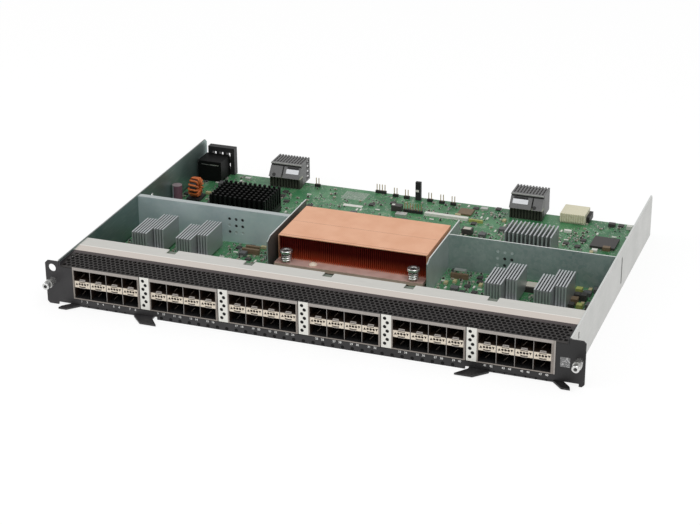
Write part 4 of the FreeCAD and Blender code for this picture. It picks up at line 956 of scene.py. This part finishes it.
# Each zone: x span, y span, and how many of each kind, in the order above.
zones = [
    ((-206, -163), (60, 140), (24, 26, 3, 2, 4, 2)),
    ((-105, -70), (50, 143), (26, 16, 1, 0, 0, 3)),
    ((-70, 0), (42, 90), (40, 36, 2, 1, 1, 4)),
    ((-70, 0), (90, 143), (26, 14, 2, 0, 0, 3)),
    ((0, 100), (42, 90), (80, 90, 6, 4, 6, 6)),
    ((0, 85), (100, 143), (34, 26, 3, 0, 1, 4)),
    ((85, 165), (78, 120), (60, 60, 5, 2, 3, 6)),
    ((148, 206), (20, 86), (24, 18, 1, 0, 1, 2)),
    ((150, 206), (108, 143), (18, 12, 1, 0, 0, 2)),
    ((-120, -72), (-50, -4), (60, 60, 5, 2, 2, 6)),
    ((70, 115), (-50, 6), (70, 70, 6, 2, 3, 8)),
    ((184, 206), (-52, 6), (24, 34, 3, 5, 5, 2)),
    ((-206, -190), (-50, -6), (24, 24, 2, 1, 1, 2)),
    ((145, 157), (-50, 4), (14, 12, 1, 0, 0, 1)),
    ((-66, 66), (41, 50), (70, 60, 0, 0, 0, 6)),
    ((-160, -110), (80, 120), (40, 40, 4, 3, 3, 4)),
    ((-163, -152), (-50, -6), (16, 16, 1, 0, 0, 1)),
    ((115, 160), (30, 44), (30, 26, 2, 1, 2, 2)),
]
dice = random.Random(41)
spots = {kind: [] for kind in kinds}


def free(x, y, half_width, half_depth, gap=0.35):
    """True if nothing stands within reach of this place."""
    return not any(
        a - gap < x + half_width and x - half_width < b + gap
        and c - gap < y + half_depth and y - half_depth < d + gap
        for a, b, c, d in taken
    )


order = [3, 2, 4, 5, 1, 0]  # larger kinds come first
kind_names = list(kinds)
for xs, ys, counts in zones:
    for which in order:
        kind = kind_names[which]
        half_width, half_depth = kinds[kind][:2]
        for _ in range(counts[which] * 3):  # up to three tries for each part
            turned = dice.random() < 0.5
            w, d = (half_depth, half_width) if turned else (half_width, half_depth)
            x, y = round(dice.uniform(*xs), 1), round(dice.uniform(*ys), 1)
            if free(x, y, w, d):
                keep_clear(x, y, w, d)
                spots[kind].append((x, y, math.pi / 2 if turned else 0.0))
            here = [s for s in spots[kind] if xs[0] <= s[0] <= xs[1] and ys[0] <= s[1] <= ys[1]]
            if len(here) >= counts[which]:
                break


def points_at(places):
    """A mesh of loose points on the board's top, with the turn of the part that goes on each."""
    made = bpy.data.meshes.new("places")
    made.from_pydata([(x * MM, y * MM, deck * MM) for x, y, turn in places], [], [])
    made.attributes.new("turn", "FLOAT", "POINT").data.foreach_set("value", [turn for x, y, turn in places])
    return made


for kind, (*_, bodies) in kinds.items():
    parts = []
    for finish, blocks in bodies:
        stamp = Shape()
        for block in blocks:
            stamp.block(*block)
        parts.append((grown(SCATTER, points_at(spots[kind]), stamp.mesh(), finish), finish))
    gather(kind, parts)

tan = two_tone("tan_moulding", 2, 3, (0.13, 0.085, 0.05), (0.24, 0.17, 0.10), 0.4)
lime = two_tone("lime_moulding", 2, 3, (0.30, 0.33, 0.07), (0.46, 0.50, 0.16), 0.35)
can_top = two_tone("pale_plate", 1.5, 3, (0.50, 0.47, 0.40), (0.66, 0.63, 0.55), 0.3)
tints = {"white": white_plastic, "lime": lime, "brown": tan, "tin": solder, "dark": package, "pale": can_top}
for tint, finish in tints.items():
    bodies = Shape()
    for left, right, front, rear, top in singles[tint]:
        bodies.block((left, right), (front, rear), (deck, top))
    gather(f"{tint}_parts", [(bodies, finish)])

# A pale mark on the front of the tall test tower.
spot = Shape().block((-1.2, 1.9), (136.5, 136.8), (16.2, 18.2))
gather("tower_mark", [(spot, white_plastic)])

# A bare pad field waits for a part that this build of the card leaves off.
pad = Shape().disc(0.45, 0.04, 10)
gather("pad_field", [in_rows(
    pad, solder, 17, (1.3, 0, 0), 14, (0, 1.3, 0), at=moved(-67.4, 122.5, deck),
)])

# ------------------------------------------------------------------ copper heat sink
# Thin copper fins stand on a thick copper base under a folded copper roof, over the switch chip.
# Four sprung screws in the base's corners hold it down on posts.

copper = Finish("bare_copper")
patina = copper.grain(16, 4)
y_mm = copper.mm("Y")
seam = (y_mm > -3.7) * (y_mm < -2.8) * 0.8 + (y_mm > -33.3) * (y_mm < -32.0)
seam = seam * (copper.bands("X", 370.0) > 0.45)
tone = copper.over(
    (0.90, 0.46, 0.27), (patina.step(0.35, 0.65), (0.97, 0.54, 0.34)),
    (copper.bands("X", 185.0) * 0.12, (0.98, 0.70, 0.54)), (seam * 0.7, (0.35, 0.10, 0.05)),
)
copper.coat(
    base_color=tone, metallic=0.4, roughness=patina * 0.15 + 0.36,
    normal=copper.bump(copper.grain(0.7, 4, (1, 0.15, 1)), 0.12, 0.04),
)
base_copper = two_tone(
    "stained_copper", 9, 5, (0.62, 0.40, 0.34), (0.76, 0.53, 0.47), 0.35, metallic=0.3, ramp=(0.3, 0.7),
)
fin_copper = Finish("fin_copper")
rise = fin_copper.mm("Z")
tone = fin_copper.over(  # the fins darken towards the top, painted shade under the roof, and the feet catch the light as a painted highlight
    (0.90, 0.17, 0.06), (rise.step(14, 27), (0.20, 0.012, 0.008)), (rise < 16.9, (1.0, 0.45, 0.25)),
)
fin_copper.coat(base_color=tone, metallic=0.4, roughness=fin_copper.grain(3, 3) * 0.15 + 0.35)
dress(base_copper, "copper_base")
fins_low, fins_high = box_mm("copper_fins")
fin_pitch, roof = 1.7, 0.6
fin_count = int((fins_high.x - fins_low.x) / fin_pitch)
fin = Shape().block((-0.16, 0.16), (fins_low.y, fins_high.y), (fins_low.z, fins_high.z - roof))
fin_parts = [in_rows(fin, fin_copper, fin_count, (fin_pitch, 0, 0), at=moved(-fin_pitch * (fin_count - 1) / 2))]
cover = Shape().block((fins_low.x, fins_high.x), (fins_low.y, fins_high.y), (fins_high.z - roof, fins_high.z))
for end in (fins_low.x, fins_high.x):
    wall = sorted((end, end - math.copysign(0.5, end)))
    cover.block(wall, (fins_low.y, fins_high.y), (fins_low.z, fins_high.z - roof))
fin_parts.append((cover, copper))
gather("copper_fin_stack", fin_parts, stands_for=["copper_fins"])


def coil(points, radius, closed=False, sides=2):
    """A round wire along points in millimetres, as a mesh in metres."""
    curve = bpy.data.curves.new("wire", "CURVE")
    curve.dimensions = "3D"
    line = curve.splines.new("POLY")
    line.points.add(len(points) - 1)
    for point, place in zip(line.points, points):
        point.co = (*[v * MM for v in place], 1)
    line.use_cyclic_u = closed
    curve.bevel_depth = radius * MM
    curve.bevel_resolution = sides
    curve.use_fill_caps = not closed
    return taken_from(placed("wire", curve))


bright = two_tone("bright_plating", 0.8, 4, (0.58, 0.58, 0.57), (0.82, 0.82, 0.80), 0.18, 0.15, metallic=0.9)
plain_steel = two_tone("satin_plating", 1.2, 4, (0.50, 0.50, 0.49), (0.72, 0.72, 0.70), 0.3, metallic=0.85)
socket_dark = two_tone("socket_shadow", 0.5, 3, (0.01, 0.01, 0.01), (0.04, 0.04, 0.04), 0.5)
dress(plain_steel, "sink_posts", "board_posts", "board_clip")
dress(bright, "board_screws", "left_lever_pivot", "right_lever_pivot", "left_ferrule", "right_ferrule")

screw_low, screw_high = box_mm("sink_screws")
spring_low, spring_high = box_mm("sink_springs")
edge_in = 5
screw_x, screw_front, screw_rear = screw_high.x - edge_in, screw_low.y + edge_in, screw_high.y - edge_in
turns, per_turn, wire, drop = 3.5, 20, 0.8, 1.5
spring_length = 10
spring_radius, climb = spring_high.x - screw_x - wire + 0.2, spring_length - drop - 2 * wire
helix = []
for k in range(int(turns * per_turn) + 1):
    angle = math.tau * k / per_turn
    height = spring_low.z + wire + k / (turns * per_turn) * climb
    helix.append((spring_radius * math.cos(angle), spring_radius * math.sin(angle), height))
head_low, head_high = spring_high.z - drop, screw_high.z - drop
captive = Shape().turned([
    (0, screw_low.z), (1.9, screw_low.z), (2.0, screw_low.z + 0.4), (2.0, head_low), (4.9, head_low),
    (5.2, head_low + 0.3), (5.2, head_high - 0.4), (4.8, head_high), (2.8, head_high),
    (2.6, head_high - 0.5), (0, head_high - 0.6),
], 28)
recess = Shape().turned([(0, head_high - 0.55), (2.3, head_high - 0.52), (0, head_high - 0.45)], 12)
sink_parts = []
for x in (-screw_x, screw_x):
    for y in (screw_front, screw_rear):
        for mesh, finish in ((captive.mesh(), bright), (coil(helix, wire), bright), (recess.mesh(), socket_dark)):
            mesh.transform(moved(x, y))
            sink_parts.append((mesh, finish))
gather("sprung_screws", sink_parts, stands_for=["sink_screws", "sink_springs"])

# A moulded push pin sits in the base in front of the fins.
ivory = two_tone("ivory_moulding", 2, 3, (0.72, 0.58, 0.44), (0.88, 0.78, 0.66), 0.3)
push = Shape().turned([
    (0, 13.2), (1.2, 13.2), (1.2, 16), (3.4, 16), (3.6, 16.5), (2.4, 17.6), (1.2, 18.2), (0, 18.3),
], 20, (-32, -41, 0))
gather("push_pin", [(push, ivory)])

# ------------------------------------------------------------------ finned aluminium sinks
# Four sawn extrusions cool the port drivers and a wider one the fabric chip behind the right baffle.
# They are bare aluminium with saw marks along the fins, held by black push pins.

aluminium = Finish("bare_aluminium")
saw = aluminium.grain(1.0, 4, (1, 0.08, 1))
tone = aluminium.over(  # the sawn ends at the front and the top edges are painted paler, as the faces that the light falls on
    (0.36, 0.38, 0.38), (saw, (0.50, 0.52, 0.52)), (aluminium.facing("Y") < -0.5, (0.66, 0.67, 0.69)),
    (aluminium.facing("Z") > 0.5, (0.62, 0.64, 0.66)),
)
aluminium.coat(
    base_color=tone, metallic=0.7, roughness=saw * 0.2 + 0.3, normal=aluminium.bump(saw, 0.15, 0.04),
)
dress(aluminium, "port_sink_a", "port_sink_b", "port_sink_c", "port_sink_d", "rear_sink")
dress(black_plastic, "port_sink_pins")
sink_shade = two_tone("fin_shade", 1.0, 3, (0.34, 0.35, 0.36), (0.46, 0.47, 0.48), 0.4, metallic=0.3)
shades = Shape()  # a grey plate across each sink's gaps, set back from the fins' ends, paints the shade between the fins
for letter in "abcd":
    low, high = box_mm(f"port_sink_{letter}")
    split = high.x - 4 * (high.x - low.x - 1.2) / 9  # the last four of nine gaps stand further back
    for x, set_back in (((low.x + 0.3, split - 0.3), 1.6), ((split + 0.3, high.x - 0.3), 13.6)):
        shades.block(x, (low.y + set_back, low.y + set_back + 0.4), (low.z + 3, high.z - 1.2))
gather("fin_shades", [(shades, sink_shade)])

# ------------------------------------------------------------------ power brick
# A black converter brick stands at the rear left under a black anodised sink of square pins.

anodised = two_tone(
    "black_anodising", 0.8, 3, (0.001, 0.001, 0.001), (0.006, 0.006, 0.006), 0.36,
    metallic=0.2, specular_ior_level=0.25,
)
dress(black_plastic, "power_brick")
sink_low, sink_high = box_mm("brick_sink")
pins_across, pins_deep, pin_side, foot = 12, 8, 2.2, 2.5
step_x = (sink_high.x - sink_low.x - pin_side) / (pins_across - 1)
step_y = (sink_high.y - sink_low.y - pin_side) / (pins_deep - 1)
square_pin = Shape().block(
    (sink_low.x, sink_low.x + pin_side), (sink_low.y, sink_low.y + pin_side), (sink_low.z + foot, sink_high.z),
)
tip = [edge for edge in square_pin.bm.edges if all(v.co.z > sink_high.z - 0.1 for v in edge.verts)]
bmesh.ops.bevel(square_pin.bm, geom=tip, offset=0.35, segments=1, affect="EDGES")
base = Shape().block((sink_low.x, sink_high.x), (sink_low.y, sink_high.y), (sink_low.z, sink_low.z + foot))
gather("pin_sink", [
    in_rows(square_pin, anodised, pins_across, (step_x, 0, 0), pins_deep, (0, step_y, 0)), (base, anodised),
], stands_for=["brick_sink"])

# ------------------------------------------------------------------ choke and capacitor
# A ring choke wound in enamelled copper wire stands on its base, and a sleeved capacitor stands beside it.

enamel = two_tone("enamelled_wire", 1.5, 3, (0.46, 0.085, 0.02), (0.74, 0.22, 0.06), 0.22, 0.15, metallic=0.35)
dress(black_plastic, "choke_base")
ring_low, ring_high = box_mm("choke_winding")
ring_x, ring_y, ring_z = (ring_low + ring_high) / 2
strand, coils = 1.05, 12
ring_outer, half_width = (ring_high.y - ring_low.y) / 2 - strand, (ring_high.x - ring_low.x) / 2 - strand
ring_hole, winding = 3.6, []
section = [
    (ring_outer, -0.8), (ring_outer, 0.8), (ring_outer - 0.9, 1), (ring_hole + 0.9, 1),
    (ring_hole, 0.8), (ring_hole, -0.8), (ring_hole + 0.9, -1), (ring_outer - 0.9, -1),
]
for k in range(coils * len(section)):
    radius, shift = section[k % len(section)]
    angle = math.tau * k / (coils * len(section))
    reach = (shift * half_width, radius * math.cos(angle), radius * math.sin(angle))
    winding.append([a + b for a, b in zip((ring_x, ring_y, ring_z), reach)])
core = Shape().turned([
    (ring_hole + 0.8, 0.8 - half_width), (ring_outer - 0.8, 0.8 - half_width), (ring_outer - 0.8, half_width - 0.8),
    (ring_hole + 0.8, half_width - 0.8), (ring_hole + 0.8, 0.8 - half_width),
], 32, (ring_x, ring_y, ring_z), tilted(90, "Y"))
gather("ring_choke", [(coil(winding, strand, closed=True), enamel), (core, socket_dark)],
       stands_for=["choke_winding"])

sleeve = Finish("capacitor_sleeve")
can_low, can_high = box_mm("capacitor")
worn = sleeve.grain(1.4, 3)
stripe = sleeve.mm("X") < (can_low.x + 2.6)
cap_top = sleeve.mm("Z") > (can_high.z - 0.25)
tone = sleeve.over(
    (0.13, 0.06, 0.09), (worn, (0.20, 0.10, 0.13)), (stripe, (0.55, 0.52, 0.58)), (cap_top, (0.34, 0.26, 0.28)),
)
sleeve.coat(base_color=tone, metallic=cap_top * 0.3, roughness=worn * 0.2 + 0.25)
dress(sleeve, "capacitor")

# ------------------------------------------------------------------ backplane connectors
# Two grey signal housings with thin wafers, a black power housing with its shroud, and a small cream plug.
# They stand at the rear edge, where they meet the chassis.

grey_plastic = Finish("grey_moulding")
satin_grey = grey_plastic.grain(1.2, 3)
height, depth = grey_plastic.mm("Z"), grey_plastic.mm("Y")
band = (height > 26.45) * (height < 27.95) * (depth < 134.5)
edge = (height > 28.5) * (depth < 133.2)
tone = grey_plastic.over(
    (0.12, 0.12, 0.12), (satin_grey, (0.19, 0.19, 0.19)), (band, (0.025, 0.025, 0.025)), (edge, (0.42, 0.42, 0.40)),
)
grey_plastic.coat(base_color=tone, roughness=satin_grey * 0.2 + 0.35)
# Painted light: the dark wafers' tops above 16.2 mm are pale olive, as the light on them.
wafer_lit_tops = Finish("wafers_with_lit_tops")
wafer = wafer_lit_tops.grain(1.0, 3)
tone = wafer_lit_tops.over(
    (0.020, 0.022, 0.018), (wafer, (0.055, 0.057, 0.040)), (wafer_lit_tops.mm("Z") > 16.2, (0.46, 0.46, 0.36)),
)
wafer_lit_tops.coat(base_color=tone, roughness=wafer * 0.2 + 0.4)
cream = two_tone("cream_moulding", 2.0, 3, (0.70, 0.66, 0.47), (0.84, 0.80, 0.62), 0.38, bump=(0.15, 0.03))
dress(grey_plastic, "left_signal_connector", "right_signal_connector")
dress(wafer_lit_tops, "left_signal_wafers", "right_signal_wafers")
dress(jet, "power_block")
dress(black_plastic, "power_shroud", "side_latch")
dress(cream, "side_plug")

label = Finish("paper_label")
faint = label.grain(0.9, 3).step(0.5, 0.6)
label.coat(
    base_color=label.mix((label.bands("Z", 210.0) > 0.75) * faint * 0.35, (0.86, 0.87, 0.90), (0.50, 0.52, 0.58)),
    roughness=faint * 0.1 + 0.45,
)
front_edge, front_lean = (0, 125.5, 17.8), -38.7  # where the housings' sloping fronts start, and how they lean
lean = Matrix.Translation(front_edge) @ tilted(front_lean)
labels, ribs, holes = Shape(), Shape(), Shape()
for left, right in ((-123.4, -111.3), (91.0, 104.8)):
    labels.block((left, right), (-0.12, 0), (4.5, 8.9))
    for k in range(5):
        ribs.block((left + 0.6, right - 0.6), (-0.3, 0), (9.0 + k * 0.42, 9.2 + k * 0.42))
for x in (-134.5, 111.2):
    holes.turned([(0, 0), (1.6, 0), (1.75, 0.1), (0, 0.1)], 20, (x, 0, 2.3), tilted(90))
for shape in (labels, ribs, holes):
    shape.laid(lean)
gather("blank_labels", [(labels, label)])
gather("key_recesses", [(holes, socket_dark), (ribs, black_plastic)])
combs, sides = Shape(), Shape()
for body in ("left_signal_connector", "right_signal_connector"):
    low, high = box_mm(body)
    combs.block((low.x + 0.6, high.x - 0.6), (136.2, high.y - 1.2), (high.z - 2.4, high.z - 0.7))
    sides.block((high.x - 0.9, high.x + 0.1), (high.y - 1.6, high.y - 0.2), (low.z + 0.4, high.z - 0.1))
    for y in (139.5, 144.0, 148.5):
        combs.block((low.x + 0.8, high.x - 0.8), (y, y + 1.6), (high.z - 0.7, high.z - 0.1))
sides.block((118.0, 118.15), (134.6, 154.2), (9.2, 28.8))  # a thin liner on the right housing's side
gather("connector_combs", [(combs, package), (sides, grey_plastic)])
line_low, line_high = box_mm("power_block")
line_y, bright_start = (line_low.y - 0.1, line_low.y), line_high.x - 10.5
line = Shape().block((line_low.x + 3.4, bright_start), line_y, (22.9, 23.2))
line.block((bright_start, line_high.x - 2.5), line_y, (22.7, 23.4))
gather("power_block_line", [(line, solder)])

# ------------------------------------------------------------------ headers and sockets
# Rows of gold-plated pins stand in black bases along the rear edge, for factory tests.

gold = two_tone("gold_plating", 0.8, 2, (0.50, 0.34, 0.14), (0.74, 0.56, 0.28), 0.25, 0.15, metallic=0.7)
dress(gold, "header_pins")
dress(black_plastic, "header_bases", "test_tower")
dress(white_plastic, "strip_socket")

# ------------------------------------------------------------------ printed port numbers and blank plate
# Plain white port numbers are screen printed below each column, and a blank plate marks the right ear.

ink = two_tone("white_print", 0.5, 2, (0.74, 0.74, 0.72), (0.90, 0.90, 0.88), 0.5)


def lettering(text, height):
    """Flat printed text, as a mesh in metres centred on X, standing in the XZ plane."""
    words = bpy.data.curves.new("print", "FONT")
    words.body, words.size, words.align_x = text, height * 1.4 * MM, "CENTER"  # a capital is 1 / 1.4 of the size
    words.resolution_u = 2
    words.extrude, words.offset = 0.02 * MM, 0.06 * MM
    made = taken_from(placed("print", words))
    made.transform(tilted(90))
    return made


numbers = []
for k in range(cages):
    for j in range(columns):
        x = first_port + k * cage_pitch + j * port_pitch
        for side_step, number in ((-1.2, 0), (3.6, 1)):
            mesh = lettering(str(2 * (k * columns + j) + number + 1), 1.75)
            mesh.transform(moved(x + side_step, panel_front - 0.03, 4.9))
            numbers.append((mesh, ink))
gather("port_numbers", numbers)
blank_x, blank_z = (203.2, 210.6), (14.6, 22.6)
blank = Shape().block(blank_x, (panel_front - 0.12, panel_front), blank_z)
dim = Finish("dim_print")
worn_print = dim.grain(0.8, 3)
patches = dim.cells(1.2) > 0.5
dim.coat(
    base_color=dim.mix(patches * 0.6 + worn_print * 0.2, (0.14, 0.14, 0.14), (0.66, 0.66, 0.66)),
    roughness=worn_print * 0.2 + 0.45,
)
gather("blank_plate", [(blank, dim)])

# ------------------------------------------------------------------ thumbscrews
# A knurled knob on each captive screw draws the card into the chassis, and a stepped ferrule guides it.

forward = tilted(90)
for body in ("left_thumbscrew", "right_thumbscrew"):
    knob_low, knob_high = box_mm(body)
    at = ((knob_low.x + knob_high.x) / 2, panel_front, (knob_low.z + knob_high.z) / 2)
    knob_radius, reach, tail = (knob_high.x - knob_low.x) / 2, panel_front - knob_low.y, knob_high.y - panel_front
    outline = [
        (0, -tail), (1.7, -tail), (2.0, 0.4 - tail), (2.0, -1.9), (1.6, -1.9), (1.6, 4.7), (2.8, 4.7), (2.8, 5.1),
    ]
    for k in range(3):
        y = 5.1 + 1.1 * k
        outline += [(knob_radius, y), (knob_radius, y + 0.55), (2.8, y + 0.6), (2.8, y + 1.1)]
    head = knob_radius - 0.5
    outline += [
        (2.8, reach - 2.6), (head, reach - 2.4), (head, reach - 0.4), (knob_radius - 0.9, reach),
        (1.5, reach), (1.3, reach - 1.3), (0, reach - 1.3),
    ]
    screw = Shape().turned(outline, 36, at, forward)
    flutes = Shape()
    for k in range(20):
        flute = Shape().block((2.7, 3.1), (-0.2, 0.2), (8.5, reach - 2.7))
        flute.laid(Matrix.Rotation(math.tau * k / 20, 4, "Z"))
        flutes.bm.from_mesh(flute.mesh(Matrix.Diagonal((1 / MM,) * 3).to_4x4()))
    flutes.laid(Matrix.Translation(at) @ forward)
    recess = Shape().turned([(0, reach - 1.3), (1.25, reach - 1.28), (0, reach - 1.2)], 16, at, forward)
    gather(body.replace("thumbscrew", "knob"), [
        (screw, bright), (flutes, bright), (recess, socket_dark),
    ], body, [body])
